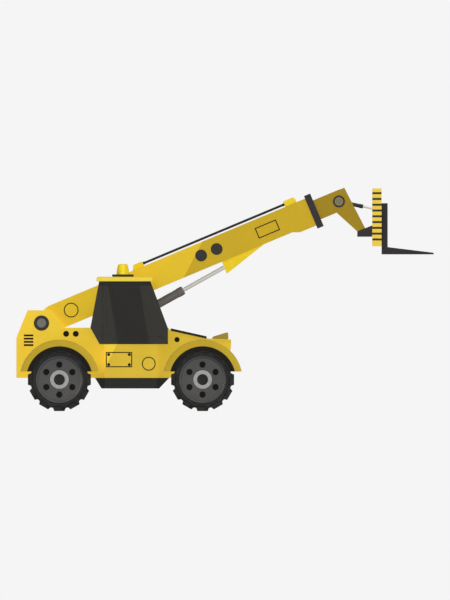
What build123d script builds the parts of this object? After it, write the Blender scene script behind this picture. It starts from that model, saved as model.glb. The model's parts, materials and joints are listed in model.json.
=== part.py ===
from build123d import *
import os
from math import atan, cos, degrees, hypot, pi, radians, sin, tan

# Telehandler: four steered wheels, a narrow frame with an open lane for the boom, a cab on the right
# side, an engine pod on the left side, a two-stage boom and a fork carriage.
# Millimetres. +X points forward, +Z up. The right side of the machine is -Y.
# A "lateral" is a distance from the middle plane, positive towards the right side.
# On the boom, "u" runs along it from the pivot pin and "w" runs square to it, upwards.

# ---------------------------------------------------------------- fits and roundness
# What turns on an axis is a true circle. Other rounds are polygons, so that the facets stay few.
SEAT_GAP = 0.3
SIDE_GAP = 6
WHEEL_FLAT_COUNT = 24
GUARD_FLAT_COUNT = 36
PIN_FLAT_COUNT = 16
SMALL_FLAT_COUNT = 10
TRUE_CIRCLE = 0

# ---------------------------------------------------------------- wheels, axles and steering
WHEELBASE = 2750
REAR_AXLE_X = -3180
FRONT_AXLE_X = REAR_AXLE_X + WHEELBASE
TYRE_R = 605
CARCASS_R = 560
SHOULDER = 30
TYRE_WIDTH = 400
TYRE_INNER = 790
TYRE_OUTER = TYRE_INNER + TYRE_WIDTH
AXLE_Z = TYRE_R
LUG_COUNT = 12
LUG_TIP_ANGLE = 11
LUG_ROOT_ANGLE = 19
LUG_SWEEP_ANGLE = 8
LUG_ROW_GAP = 24
LUG_ROOT_DEPTH = 34
RIM_R = 446
RIM_WALL = 24
RIM_WEB_INNER = 1096
RIM_WEB = 26
RIM_LIP = 8
RIM_HOLE_R = 59
RIM_HOLE_CIRCLE_R = 288
RIM_HOLE_COUNT = 6
HUB_RING_R = 178
HUB_RING_HEIGHT = 22
HUB_CAP_R = 106
HUB_CAP_HEIGHT = 46
SPINDLE_R = 92
SPINDLE_DRUM_R = 165
SPINDLE_DRUM = 150
SPINDLE_NECK = 100
SHIELD_R = 360
SHIELD = 6
KINGPIN = 780
KINGPIN_CAP_R = 48
KINGPIN_CAP = 14
KNUCKLE_R = 78
KNUCKLE_HALF_HEIGHT = 120
YOKE_ARM = 36
YOKE_HALF_WIDTH = 70
YOKE_ROOT = 640
YOKE_BACK = 40
BEAM_HALF_WIDTH = 90
BEAM_HALF_HEIGHT = 80
DIFF_R = 150
DIFF_HALF_LENGTH = 120

# ---------------------------------------------------------------- mudguards
GUARD_TYRE_GAP = 147
GUARD_SKIN = 14
GUARD_SKIN_R = TYRE_R + GUARD_TYRE_GAP + GUARD_SKIN
GUARD_INNER = 880
GUARD_SIDE_GAP = 5
GUARD_FACE = 10
GUARD_OUTER = TYRE_OUTER + GUARD_SIDE_GAP + GUARD_FACE
GUARD_FACE_R = 552
GUARD_BOTTOM_RISE = 155
GUARD_STRAP = 14
STRAP_NEAR = 106
STRAP_FAR = 150
STRAP_LATERAL = KINGPIN - GUARD_STRAP
STRAP_LAP = 60
STEER_ARM = 40
STEER_ARM_HALF_HEIGHT = 40

# ---------------------------------------------------------------- frame
PLATE_INNER = 235
PLATE = 40
PLATE_OUTER = PLATE_INNER + PLATE
REAR_X = -4006
FRONT_X = 118
FRAME_BOTTOM_Z = 637
REAR_SHOULDER_Z = 1409
CREST_Z = 1936
CREST_REAR_X = -3791
CREST_FRONT_X = -3336
REAR_DECK_Z = 1601
REAR_DECK_X = -3100
FRONT_DECK_X = -1043
FRONT_DECK_Z = 1550
NOSE_DECK_X = -352
NOSE_DECK_Z = 1396
NOSE_Z = 1375
NOSE_FACE_Z = 1250
NOSE_KNEE_X = 60
NOSE_KNEE_Z = 900
NOSE_FOOT_X = -140
NOSE_TIE = 50
NOSE_TIE_Z = 765
LASH_EYE_R = 28
LASH_EYE_LATERAL = 150
FLOOR_PLATE = 20
DECK_OUTER = 400
DECK_FLANGE = 18
DECK_PLATE = 40
GUSSET = 16
GUSSET_DEPTH = 150
LOUVRE_COUNT = 4
LOUVRE_PITCH = 62
LOUVRE_HEIGHT = 32
LOUVRE_REAR_X = -3859
LOUVRE_FRONT_X = -3682
LOUVRE_TOP_Z = 1469
LOUVRE_DEPTH = 24
CAP_HEIGHT = 10
WEIGHT_HALF_WIDTH = 405
WEIGHT_DEPTH = 140
HITCH_R = 25
HITCH_Z = 800
HITCH_DEPTH = 110
HITCH_HALF_WIDTH = 90
HITCH_JAW = 90
HITCH_LIP = 135
HITCH_RECESS = 220
TAIL_LAMP_Z = 1240
TAIL_LAMP_HEIGHT = 110
TAIL_LAMP_WIDTH = 70
TAIL_LAMP_DEPTH = 14
LAMP_POD_REAR_X = -247
LAMP_POD_HEEL_X = -236
LAMP_POD_HEEL_Z = 1429
LAMP_POD_CREST_X = 20
LAMP_POD_FRONT_X = 62
LAMP_POD_TOP_Z = 1508
LAMP_POD_INNER = 245
LAMP_R = 44
LAMP_DEPTH = 12
PLATE_CAPS = (
    # x, z, radius
    (-3050, 1484, 57),
    (-2865, 1484, 57),
    (-921, 1373, 50),
)

# ---------------------------------------------------------------- boom
BOOM_ANGLE = 22.7
PIVOT_X = -3524
PIVOT_Z = 1690
BOOM_HALF_DEPTH = 252
BOOM_HALF_WIDTH = 170
BOOM_WALL = 12
BOOM_LENGTH = 5590
BOOM_TUBE_START = 330
BOOM_CAVITY_START = 530
TAIL_PLATE = 40
TAIL_SHOULDER_U = 219
TAIL_ROUND = 324
TAIL_END_U = -150
TAIL_END_TOP = 85
TAIL_END_BOTTOM = -120
TAIL_FOOT_U = 60
PIVOT_TUBE_R = 112
PIVOT_TUBE_HALF = 229
PIN_R = 60
PIN_FLANGE_R = 147
PIN_FLANGE = 16
PIN_CAP_R = 94
PIN_CAP = 16
NOSE_REACH = 475
NOSE_KNEE = 333
NOSE_DROP_W = -309
COVER = 8
ROUND_COVERS = (
    # u, w, radius, height
    (3329, 14, 113, 8),
    (3652, 13, 113, 8),
    (622, 10, 132, 5),
)
PLATE_COVER_SETBACK = 892
PLATE_COVER_U = BOOM_LENGTH - PLATE_COVER_SETBACK
PLATE_COVER_W = -8
PLATE_COVER_LENGTH = 422
PLATE_COVER_DEPTH = 196
PLATE_COVER = 5
COLLAR_LENGTH = 129
COLLAR_TOP = 305
COLLAR_BOTTOM = -374
COLLAR_HALF_WIDTH = 196
STAGE_TOP = 161
STAGE_BOTTOM = -232
STAGE_HALF_WIDTH = 132
STAGE_WALL = 15
STAGE_FLOOR = -195
STAGE_START = 640
STAGE_REACH = 327
STAGE_END = BOOM_LENGTH + COLLAR_LENGTH + STAGE_REACH
PAD = 8
PAD_LENGTH = 110
PIPE_R = 23
PIPE_W = 303
PIPE_LATERAL = 60
PIPE_BLOCK_HALF_WIDTH = 110
PIPE_START = 2240
PIPE_SETBACK = 408
PIPE_END = BOOM_LENGTH - PIPE_SETBACK
BLOCK_LENGTH = 234
REAR_BLOCK_TOP = 350
REAR_BLOCK_SLANT = 55
FRONT_BLOCK_TOP = 365
FRONT_BLOCK_DROP = 35
FRONT_BLOCK_SLANT = 36
REAR_BLOCK = ((PIPE_START - BLOCK_LENGTH, BOOM_HALF_DEPTH), (PIPE_START, BOOM_HALF_DEPTH),
              (PIPE_START, REAR_BLOCK_TOP), (PIPE_START - BLOCK_LENGTH + REAR_BLOCK_SLANT, REAR_BLOCK_TOP))
FRONT_BLOCK = ((PIPE_END, BOOM_HALF_DEPTH), (PIPE_END + BLOCK_LENGTH, BOOM_HALF_DEPTH),
               (PIPE_END + BLOCK_LENGTH, FRONT_BLOCK_TOP - FRONT_BLOCK_DROP),
               (PIPE_END + BLOCK_LENGTH - FRONT_BLOCK_SLANT, FRONT_BLOCK_TOP), (PIPE_END, FRONT_BLOCK_TOP))
HEAD_HALF_WIDTH = 132
HEAD_PLATE = 34
HEAD_TOP_REACH = 321
HEAD_TOP_U = STAGE_END + HEAD_TOP_REACH
HEAD_TOP_W = 155
HEAD_TOE_FRONT_REACH = 390
HEAD_TOE_FRONT_U = STAGE_END + HEAD_TOE_FRONT_REACH
HEAD_TOE_REAR_REACH = 223
HEAD_TOE_REAR_U = STAGE_END + HEAD_TOE_REAR_REACH
HEAD_TOE_W = -709
HEAD_TIE_LENGTH = 200
HEAD_TUBE_REACH = 284
HEAD_TUBE_U = STAGE_END + HEAD_TUBE_REACH
HEAD_TUBE_W = -560
HEAD_TUBE_R = 40

# ---------------------------------------------------------------- lift cylinder
LIFT_BASE_X = -3361
LIFT_BASE_Z = 901
LIFT_EYE_U = 3744
LIFT_EYE_W = -356
LIFT_BARREL_R = 88
LIFT_BARREL_START = 150
LIFT_BARREL_END = 2931
LIFT_ROD_R = 40
LIFT_ROD_START = 1300
LIFT_CAP_WALL = 40
LIFT_EYE_R = 45
LIFT_EYE_HALF = 45
LIFT_FOOT_R = 84
LIFT_FOOT_HALF = 60
LIFT_NECK_HALF = 50
BASE_EAR = 30
BASE_EAR_R = 110
BASE_EAR_SPREAD = 190
SLOT_HALF_WIDTH = 52
SLOT_REAR_U = 3060
SLOT_FRONT_U = 3880
BRACKET_REAR_U = 3650
BRACKET_FRONT_U = 4527
BRACKET_W = -501
BRACKET_PLATE = 36
BRACKET_BOSS_R = 62
BRACKET_BOSS = 14

# ---------------------------------------------------------------- crowd cylinder, carriage and forks
TRUNNION_REACH = 125
TRUNNION_U = STAGE_END + TRUNNION_REACH
TRUNNION_W = -50
TRUNNION_R = 30
TRUNNION_BOSS_R = 116
TRUNNION_BOSS = 14
TRUNNION_CAP_R = 80
TRUNNION_CAP = 10
CROWD_BARREL_R = 40
CROWD_BARREL_END = 474
CROWD_TAIL = 170
CROWD_CAP_WALL = 20
CROWD_COLLAR_R = 52
CROWD_COLLAR_HALF = 60
CROWD_ROD_R = 19
CROWD_ROD_START = -15
CROWD_EYE_R = 27
CROWD_EYE_HALF = 24
CROWD_EAR = 22
CROWD_EAR_REACH = 30
CROWD_EAR_HALF_HEIGHT = 45
TILT_REACH = 303.14
TILT_U = STAGE_END + TILT_REACH
TILT_W = -781.73
TILT_PIN_R = 30
TILT_PIN_END = 12
HEAD_EAR_R = 58
LUG_INNER = 138
LUG_PLATE = 32
# The carriage and the forks are measured from the tilt pin, forward (x) and up (z).
CROWD_EYE_X = 273
CROWD_EYE_Z = 452
LUG_REAR_X = -96
LUG_REAR_Z = 31
LUG_TOP_Z = 148
LUG_BOTTOM_Z = -72
CARRIAGE_REAR_X = 192
CARRIAGE_FRONT_X = 371
CARRIAGE_BOTTOM_Z = -253
CARRIAGE_TOP_Z = 857
CARRIAGE_HALF_WIDTH = 600
CHEEK = 36
BEAM_DEPTH = 60
BEAM_HEIGHT = 90
BEAM_BOTTOMS_Z = (-229, 481)
EAR_BEAM_Z = 311
EAR_BEAM_HEIGHT = 60
EAR_BEAM_DEPTH = 26
BAR_COUNT = 9
BAR_HEIGHT = 37
BAR_DEPTH = 26
BAR_TOP_Z = 765
BAR_PITCH = 111
FORK_SHANK = 117
FORK_TOP_Z = 573
FORK_BOTTOM_Z = -410
FORK_HEEL_Z = -270
FORK_TIP_X = 1371
FORK_TIP_Z = -378
FORK_WIDTH = 125
FORK_CENTRE = 330

# ---------------------------------------------------------------- cab
CAB_INNER = 290
CAB_OUTER = 1165
CAB_WALL = 40
CAB_REAR_TOP_X = -2418
CAB_FRONT_TOP_X = -1431
CAB_TOP_Z = 2490
CAB_FRONT_X = -1095
CAB_BELT_Z = 1590
CAB_BOTTOM_Z = 1286
CAB_REAR_X = -2585
CAB_HEEL_X = -2410
PILLAR = 62
GLASS = 8
GLASS_SETBACK = 10
SCREEN_LOW = 0.08
SCREEN_HIGH = 0.92
SCREEN_MARGIN = 30
TUB_REAR_X = -2305
TUB_FRONT_X = -1307
TUB_SETBACK = 15
TUB_OUTER = CAB_OUTER - TUB_SETBACK
TUB_WALL = 40
FOOTWELL_Z = 960
FOOTWELL_REAR_X = -1880
HATCH_REAR_X = -2278
HATCH_FRONT_X = -1792
HATCH_BOTTOM_Z = 852
HATCH_TOP_Z = 1125
HATCH = 5
FILLER_X = -1464
FILLER_Z = 910
FILLER_R = 123
ROOF_REAR_X = -2468
ROOF_FRONT_X = -1395
ROOF_THICK = 90
ROOF_LAP = 8
ROOF_INNER = CAB_INNER - ROOF_LAP
ROOF_OVERHANG = 15
ROOF_OUTER = CAB_OUTER + ROOF_OVERHANG
ROOF_CHAMFER = 22
BEACON_X = -1962
BEACON_LATERAL = 730
BEACON_PLATE_REAR_X = -2167
BEACON_PLATE_FRONT_X = -1754
BEACON_PLATE = 45
BEACON_PLATE_HALF = 150
BEACON_R = 122
BEACON_TOP_R = 88
BEACON_HEIGHT = 201
DOOR_REAR_X = -2343
DOOR_FRONT_X = -1115
DOOR_FRONT_TOP_X = -1441
DOOR_TOP_Z = CAB_TOP_Z - 24
DOOR_BOTTOM_Z = 1300
DOOR_GAP = 6
DOOR_RAIL = 46
HINGE_R = 12
HINGE_HALF = 40
HINGE_KNUCKLE = 30
HINGE_TAB = 40
HINGE_LEAF = 8
HINGE_RISE = 2
DOOR_HINGE_Z = (DOOR_BOTTOM_Z + 200, DOOR_TOP_Z - 216)
SEAT_INNER = 500
SEAT_OUTER = 960
SEAT_BASE_INSET = 80
SEAT_BASE_REAR_X = -2300
SEAT_BASE_FRONT_X = -1960
SEAT_PAN_Z = 1560
CONSOLE_INNER = 660
CONSOLE_OUTER = 800
STEERING_X = -1540
STEERING_Z = 1870
STEERING_R = 185
STEERING_GRIP = 30
STEERING_SPOKE = 40
STEERING_DEPTH = 26
STEERING_TILT = -0.35
COLUMN_R = 28
COLUMN_LENGTH = 70

# ---------------------------------------------------------------- engine pod and belly
POD_INNER = 290
POD_OUTER = 1165
POD_WALL = 20
POD_WAIST_Z = 1173
POD_SPLIT_Z = 1290
POD_TOP_Z = 1560
POD_TOP_CHAMFER = 40
POD_REAR_TOP_X = -2555
POD_LEDGE = 60
HOOD_HINGE_X = (-2300, -1350)
GRILLE_REAR_X = -2260
GRILLE_FRONT_X = -1300
GRILLE_BOTTOM_Z = 1345
GRILLE_TOP_Z = 1505
SLAT_COUNT = 5
SLAT = 8
SLAT_DROP = 22
ENGINE_REAR_X = -2180
ENGINE_FRONT_X = -1420
ENGINE_INNER = 430
ENGINE_OUTER = 1010
ENGINE_BOTTOM_Z = 760
ENGINE_TOP_Z = 1270
ENGINE_FOOT_INSET = 80
ENGINE_FOOT_HALF = 50
BELLY_BOTTOM_Z = 434
BELLY_TOP_REAR_X = -2497
BELLY_TOP_FRONT_X = -1072
BELLY_BOTTOM_REAR_X = -2372
BELLY_BOTTOM_FRONT_X = -1264
BELLY_HALF_WIDTH = 400
BELLY_OUTER = 1100

# ---------------------------------------------------------------- reference planes
BOOM_DIR = Vector(cos(radians(BOOM_ANGLE)), 0, sin(radians(BOOM_ANGLE)))
SIDE = Plane.XZ
BOOM = Plane(origin=(PIVOT_X, 0, PIVOT_Z), x_dir=BOOM_DIR, z_dir=(0, -1, 0))
LIFT_BASE = Vector(LIFT_BASE_X, 0, LIFT_BASE_Z)
LIFT_EYE = BOOM.from_local_coords(Vector(LIFT_EYE_U, LIFT_EYE_W, 0))
LIFT_LENGTH = (LIFT_EYE - LIFT_BASE).length
LIFT = Plane(origin=LIFT_BASE, x_dir=LIFT_EYE - LIFT_BASE, z_dir=(0, -1, 0))
TRUNNION = BOOM.from_local_coords(Vector(TRUNNION_U, TRUNNION_W, 0))
TILT_PIN = BOOM.from_local_coords(Vector(TILT_U, TILT_W, 0))
TILT = Plane(origin=TILT_PIN, x_dir=(1, 0, 0), z_dir=(0, -1, 0))
CROWD_EYE = TILT.from_local_coords(Vector(CROWD_EYE_X, CROWD_EYE_Z, 0))
CROWD_LENGTH = (CROWD_EYE - TRUNNION).length
CROWD = Plane(origin=TRUNNION, x_dir=CROWD_EYE - TRUNNION, z_dir=(0, -1, 0))
HOOD_HINGE_LATERAL = -(PLATE_OUTER + HINGE_R)
HOOD_HINGE_Z = POD_TOP_Z + HINGE_R + HINGE_RISE
HOOD_HINGE = Plane(origin=(0, -HOOD_HINGE_LATERAL, HOOD_HINGE_Z), x_dir=(1, 0, 0), z_dir=(0, -1, 0))
DOOR_HINGE_X = DOOR_REAR_X - DOOR_GAP / 2
DOOR_HINGE_LATERAL = CAB_OUTER + HINGE_R
HUB = Plane(origin=(0, 0, AXLE_Z), x_dir=(1, 0, 0), z_dir=(0, -1, 0))


# ---------------------------------------------------------------- small building steps
def slab(points, near, far, base=SIDE, mode=Mode.ADD, margin=0):
    """A plate between two laterals, with a side outline that a margin can draw in."""
    with BuildSketch(base.offset(near)) as outline:
        with BuildLine():
            Polyline(*points, close=True)
        make_face()
        if margin:
            offset(amount=-margin, kind=Kind.INTERSECTION, mode=Mode.REPLACE)
    extrude(outline.sketch, amount=far - near, mode=mode)


def both(near, far):
    """The same band of laterals on the right side and on the left side."""
    return (near, far), (-far, -near)


def pair(points, near, far, base=SIDE, mode=Mode.ADD):
    """The same plate on both sides of the middle plane."""
    for side_near, side_far in both(near, far):
        slab(points, side_near, side_far, base, mode)


def rect(along0, along1, up0, up1):
    """The four corners of an upright rectangle."""
    return [(along0, up0), (along1, up0), (along1, up1), (along0, up1)]


def circle(radius, flats):
    """A true circle, or a polygon that stands for one."""
    if flats == TRUE_CIRCLE:
        Circle(radius)
    else:
        RegularPolygon(radius, flats)


def disc(along, up, radius, near, far, base=SIDE, mode=Mode.ADD, flats=PIN_FLAT_COUNT):
    """A round bar across the machine, between two laterals."""
    with BuildSketch(base.offset(near)) as outline:
        with Locations((along, up)):
            circle(radius, flats)
    extrude(outline.sketch, amount=far - near, mode=mode)


def discs(along, up, radius, near, far, base=SIDE, mode=Mode.ADD, flats=PIN_FLAT_COUNT):
    """The same round bar on both sides of the middle plane."""
    for side_near, side_far in both(near, far):
        disc(along, up, radius, side_near, side_far, base, mode, flats)


def bar(base, start, end, radius, mode=Mode.ADD, flats=PIN_FLAT_COUNT):
    """A round bar along the x direction of a reference plane."""
    foot = base.from_local_coords(Vector(start, 0, 0))
    with BuildSketch(Plane(origin=foot, z_dir=base.x_dir)) as outline:
        circle(radius, flats)
    extrude(outline.sketch, amount=end - start, mode=mode)


def post(x, lateral, z0, z1, radius, flats=PIN_FLAT_COUNT):
    """A round upright bar."""
    with BuildSketch(Plane.XY.offset(z0)) as outline:
        with Locations((x, -lateral)):
            circle(radius, flats)
    extrude(outline.sketch, amount=z1 - z0)


def room(radius, flats=PIN_FLAT_COUNT):
    """The corner radius of a hole whose flats clear a round pin of this radius by the seat gap."""
    return (radius + SEAT_GAP) / cos(pi / flats)


def save(part, name, colour):
    """Label one finished piece and write its STEP file."""
    part.label = name
    part.color = Color(colour)
    export_step(part, f"parts/{name}.step")


os.makedirs("parts", exist_ok=True)

# ================================================================ frame
FRAME_OUTLINE = [
    (REAR_X, FRAME_BOTTOM_Z), (REAR_X, REAR_SHOULDER_Z), (CREST_REAR_X, CREST_Z),
    (CREST_FRONT_X, CREST_Z), (REAR_DECK_X, REAR_DECK_Z), (CAB_FRONT_X, REAR_DECK_Z),
    (FRONT_DECK_X, FRONT_DECK_Z), (NOSE_DECK_X, NOSE_DECK_Z), (FRONT_X, NOSE_Z), (FRONT_X, NOSE_FACE_Z),
    (NOSE_KNEE_X, NOSE_KNEE_Z), (NOSE_FOOT_X, FRAME_BOTTOM_Z),
]
NOSE_SLOPE = (NOSE_DECK_Z - NOSE_Z) / (FRONT_X - NOSE_DECK_X)
with BuildPart() as chassis_frame:
    pair(FRAME_OUTLINE, PLATE_INNER, PLATE_OUTER)
    # floor and nose tie between the two plates
    floor_top_z = FRAME_BOTTOM_Z + FLOOR_PLATE
    slab(rect(REAR_X + WEIGHT_DEPTH, NOSE_FOOT_X, FRAME_BOTTOM_Z, floor_top_z), -PLATE_INNER, PLATE_INNER)
    slab(rect(NOSE_FOOT_X - NOSE_TIE, NOSE_FOOT_X, FRAME_BOTTOM_Z, NOSE_TIE_Z), -PLATE_INNER, PLATE_INNER)
    # lashing eyes through the nose tie
    with BuildSketch(Plane.YZ.offset(NOSE_FOOT_X - NOSE_TIE)) as eyes:
        for lateral in (LASH_EYE_LATERAL, -LASH_EYE_LATERAL):
            with Locations((-lateral, (FRAME_BOTTOM_Z + NOSE_TIE_Z) / 2)):
                Circle(LASH_EYE_R)
    extrude(eyes.sketch, amount=NOSE_TIE, mode=Mode.SUBTRACT)
    # deck flanges in front of the cab, with a gusset below each
    flange = [(FRONT_DECK_X, FRONT_DECK_Z), (NOSE_DECK_X, NOSE_DECK_Z), (FRONT_X, NOSE_Z),
              (FRONT_X, NOSE_Z - DECK_FLANGE), (NOSE_DECK_X, NOSE_DECK_Z - DECK_FLANGE),
              (FRONT_DECK_X, FRONT_DECK_Z - DECK_FLANGE)]
    pair(flange, PLATE_OUTER, DECK_OUTER)
    for near, far in both(PLATE_OUTER, DECK_OUTER):
        root, tip = sorted((near, far), key=abs)
        with BuildSketch(Plane.YZ.offset(NOSE_DECK_X)) as gusset:
            with BuildLine():
                top_z = NOSE_DECK_Z - DECK_FLANGE
                Polyline((-root, top_z), (-tip, top_z), (-root, top_z - GUSSET_DEPTH), close=True)
            make_face()
        extrude(gusset.sketch, amount=GUSSET)
    # ears that hold the foot of the lift cylinder, and its pin
    ear_near = LIFT_FOOT_HALF + SIDE_GAP
    discs(LIFT_BASE_X, LIFT_BASE_Z, BASE_EAR_R, ear_near, ear_near + BASE_EAR)
    pair([(LIFT_BASE_X - BASE_EAR_SPREAD, floor_top_z), (LIFT_BASE_X - BASE_EAR_R, LIFT_BASE_Z),
          (LIFT_BASE_X + BASE_EAR_R, LIFT_BASE_Z), (LIFT_BASE_X, floor_top_z)],
         ear_near, ear_near + BASE_EAR)
    disc(LIFT_BASE_X, LIFT_BASE_Z, TRUNNION_R, -PLATE_INNER, PLATE_INNER, flats=TRUE_CIRCLE)
    # notches for the two axle beams and for the differentials
    for axle_x in (REAR_AXLE_X, FRONT_AXLE_X):
        slab(rect(axle_x - BEAM_HALF_WIDTH, axle_x + BEAM_HALF_WIDTH,
                  FRAME_BOTTOM_Z, AXLE_Z + BEAM_HALF_HEIGHT),
             -PLATE_OUTER, PLATE_OUTER, mode=Mode.SUBTRACT)
        slab(rect(axle_x - DIFF_R, axle_x + DIFF_R, FRAME_BOTTOM_Z, floor_top_z),
             -PLATE_INNER, PLATE_INNER, mode=Mode.SUBTRACT)
    # outer knuckles of the hood hinges, on the left plate
    for x in HOOD_HINGE_X:
        for x0 in (x - HINGE_HALF - HINGE_KNUCKLE, x + HINGE_HALF):
            bar(HOOD_HINGE, x0, x0 + HINGE_KNUCKLE, HINGE_R, flats=SMALL_FLAT_COUNT)
            slab(rect(x0, x0 + HINGE_KNUCKLE, HOOD_HINGE_Z - HINGE_R, HOOD_HINGE_Z),
                 HOOD_HINGE_LATERAL, -PLATE_OUTER)
    # bore for the boom pin
    disc(PIVOT_X, PIVOT_Z, room(PIN_R), -PLATE_OUTER, PLATE_OUTER, mode=Mode.SUBTRACT)
    # louvres in both rear shoulders
    for row in range(LOUVRE_COUNT):
        top = LOUVRE_TOP_Z - row * LOUVRE_PITCH
        pair(rect(LOUVRE_REAR_X, LOUVRE_FRONT_X, top - LOUVRE_HEIGHT, top),
             PLATE_OUTER - LOUVRE_DEPTH, PLATE_OUTER, mode=Mode.SUBTRACT)
save(chassis_frame.part, "chassis_frame", "goldenrod")

weight_front_x = REAR_X + WEIGHT_DEPTH
hitch_back_x = REAR_X + HITCH_DEPTH
jaw_top_z = HITCH_Z + HITCH_JAW / 2
tail_lamp = rect(REAR_X, REAR_X + TAIL_LAMP_DEPTH, TAIL_LAMP_Z, TAIL_LAMP_Z + TAIL_LAMP_HEIGHT)
tail_lamp_inner = (PLATE_OUTER + WEIGHT_HALF_WIDTH - TAIL_LAMP_WIDTH) / 2
with BuildPart() as counterweight:
    block = rect(REAR_X, weight_front_x, FRAME_BOTTOM_Z, REAR_SHOULDER_Z)
    slab(block, -PLATE_INNER, PLATE_INNER)
    pair(block, PLATE_OUTER, WEIGHT_HALF_WIDTH)
    # tow hitch jaw with an upright pin bore, and the recess above that the pin is handled through
    slab(rect(REAR_X, hitch_back_x, jaw_top_z - HITCH_JAW, jaw_top_z),
         -HITCH_HALF_WIDTH, HITCH_HALF_WIDTH, mode=Mode.SUBTRACT)
    slab(rect(REAR_X, hitch_back_x, jaw_top_z + HITCH_LIP, jaw_top_z + HITCH_LIP + HITCH_RECESS),
         -HITCH_HALF_WIDTH, HITCH_HALF_WIDTH, mode=Mode.SUBTRACT)
    with BuildSketch(Plane.XY.offset(FRAME_BOTTOM_Z)) as pin_bore:
        with Locations((REAR_X + HITCH_DEPTH / 2, 0)):
            Circle(HITCH_R)
    extrude(pin_bore.sketch, amount=jaw_top_z + HITCH_LIP - FRAME_BOTTOM_Z, mode=Mode.SUBTRACT)
    # pockets for the tail lamps
    pair(tail_lamp, tail_lamp_inner, tail_lamp_inner + TAIL_LAMP_WIDTH, mode=Mode.SUBTRACT)
save(counterweight.part, "counterweight", "goldenrod")

with BuildPart() as tail_lamps:
    pair(tail_lamp, tail_lamp_inner, tail_lamp_inner + TAIL_LAMP_WIDTH)
save(tail_lamps.part, "tail_lamps", "firebrick")

with BuildPart() as pin_caps:
    for x, z, radius in PLATE_CAPS:
        discs(x, z, radius, PLATE_OUTER, PLATE_OUTER + CAP_HEIGHT, flats=SMALL_FLAT_COUNT)
save(pin_caps.part, "pin_caps", "gray20")

with BuildPart() as boom_pin:
    reach = PLATE_OUTER + PIN_FLANGE
    disc(PIVOT_X, PIVOT_Z, PIN_R, -reach, reach, flats=TRUE_CIRCLE)
    discs(PIVOT_X, PIVOT_Z, PIN_FLANGE_R, PLATE_OUTER, reach, flats=WHEEL_FLAT_COUNT)
    discs(PIVOT_X, PIVOT_Z, PIN_CAP_R, reach, reach + PIN_CAP)
save(boom_pin.part, "boom_pin", "gray20")

with BuildPart() as front_deck:
    pair([(FRONT_DECK_X, FRONT_DECK_Z), (NOSE_DECK_X, NOSE_DECK_Z),
          (NOSE_DECK_X, NOSE_DECK_Z + DECK_PLATE), (FRONT_DECK_X, FRONT_DECK_Z + DECK_PLATE)],
         PLATE_INNER, DECK_OUTER)
save(front_deck.part, "front_deck", "gray10")

pod_rear_z = NOSE_Z + NOSE_SLOPE * (FRONT_X - LAMP_POD_REAR_X)
pod_front_z = NOSE_Z + NOSE_SLOPE * (FRONT_X - LAMP_POD_FRONT_X)
LAMPS = Plane(origin=(LAMP_POD_FRONT_X, 0, (LAMP_POD_TOP_Z + pod_front_z) / 2), x_dir=(0, 1, 0),
              z_dir=(1, 0, 0))
with BuildSketch(LAMPS) as lamp_faces:
    for near, far in both(LAMP_POD_INNER, DECK_OUTER):
        with Locations((-(near + far) / 2, 0)):
            RegularPolygon(LAMP_R, PIN_FLAT_COUNT)
with BuildPart() as lamp_pods:
    pair([(LAMP_POD_REAR_X, pod_rear_z), (LAMP_POD_HEEL_X, LAMP_POD_HEEL_Z),
          (LAMP_POD_CREST_X, LAMP_POD_TOP_Z), (LAMP_POD_FRONT_X, LAMP_POD_TOP_Z),
          (LAMP_POD_FRONT_X, pod_front_z)],
         LAMP_POD_INNER, DECK_OUTER)
    extrude(lamp_faces.sketch, amount=-LAMP_DEPTH, mode=Mode.SUBTRACT)
save(lamp_pods.part, "lamp_pods", "darkgoldenrod")

with BuildPart() as lamp_lenses:
    extrude(lamp_faces.sketch, amount=-LAMP_DEPTH)
save(lamp_lenses.part, "lamp_lenses", "whitesmoke")

with BuildPart() as belly_guard:
    slab([(BELLY_TOP_REAR_X, FRAME_BOTTOM_Z), (BELLY_TOP_FRONT_X, FRAME_BOTTOM_Z),
          (BELLY_BOTTOM_FRONT_X, BELLY_BOTTOM_Z), (BELLY_BOTTOM_REAR_X, BELLY_BOTTOM_Z)],
         -BELLY_HALF_WIDTH, BELLY_HALF_WIDTH)
    pair(rect(TUB_REAR_X, TUB_FRONT_X, BELLY_BOTTOM_Z, FRAME_BOTTOM_Z), BELLY_HALF_WIDTH, BELLY_OUTER)
save(belly_guard.part, "belly_guard", "gray20")

# ================================================================ cab
CAB_OUTLINE = [
    (CAB_REAR_TOP_X, CAB_TOP_Z), (CAB_REAR_X, REAR_DECK_Z), (CAB_HEEL_X, CAB_BOTTOM_Z),
    (CAB_FRONT_X, CAB_BOTTOM_Z), (CAB_FRONT_X, CAB_BELT_Z), (CAB_FRONT_TOP_X, CAB_TOP_Z),
]
DOOR_OUTLINE = [
    (DOOR_REAR_X, DOOR_TOP_Z), (DOOR_REAR_X, DOOR_BOTTOM_Z), (DOOR_FRONT_X, DOOR_BOTTOM_Z),
    (DOOR_FRONT_X, CAB_BELT_Z), (DOOR_FRONT_TOP_X, DOOR_TOP_Z),
]
footwell_front_x = TUB_FRONT_X - TUB_WALL
footwell_inner, footwell_outer = CAB_INNER + TUB_WALL, TUB_OUTER - TUB_WALL


def screen(start, end, deep, shallow):
    """The side outline of a band along a sloping end wall, between two depths behind its face."""
    run_x, run_z = end[0] - start[0], end[1] - start[1]
    size = hypot(run_x, run_z)

    def spot(share, drop):
        return (start[0] + run_x * share - run_z / size * drop,
                start[1] + run_z * share + run_x / size * drop)
    return [spot(SCREEN_LOW, shallow), spot(SCREEN_HIGH, shallow),
            spot(SCREEN_HIGH, deep), spot(SCREEN_LOW, deep)]


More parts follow.
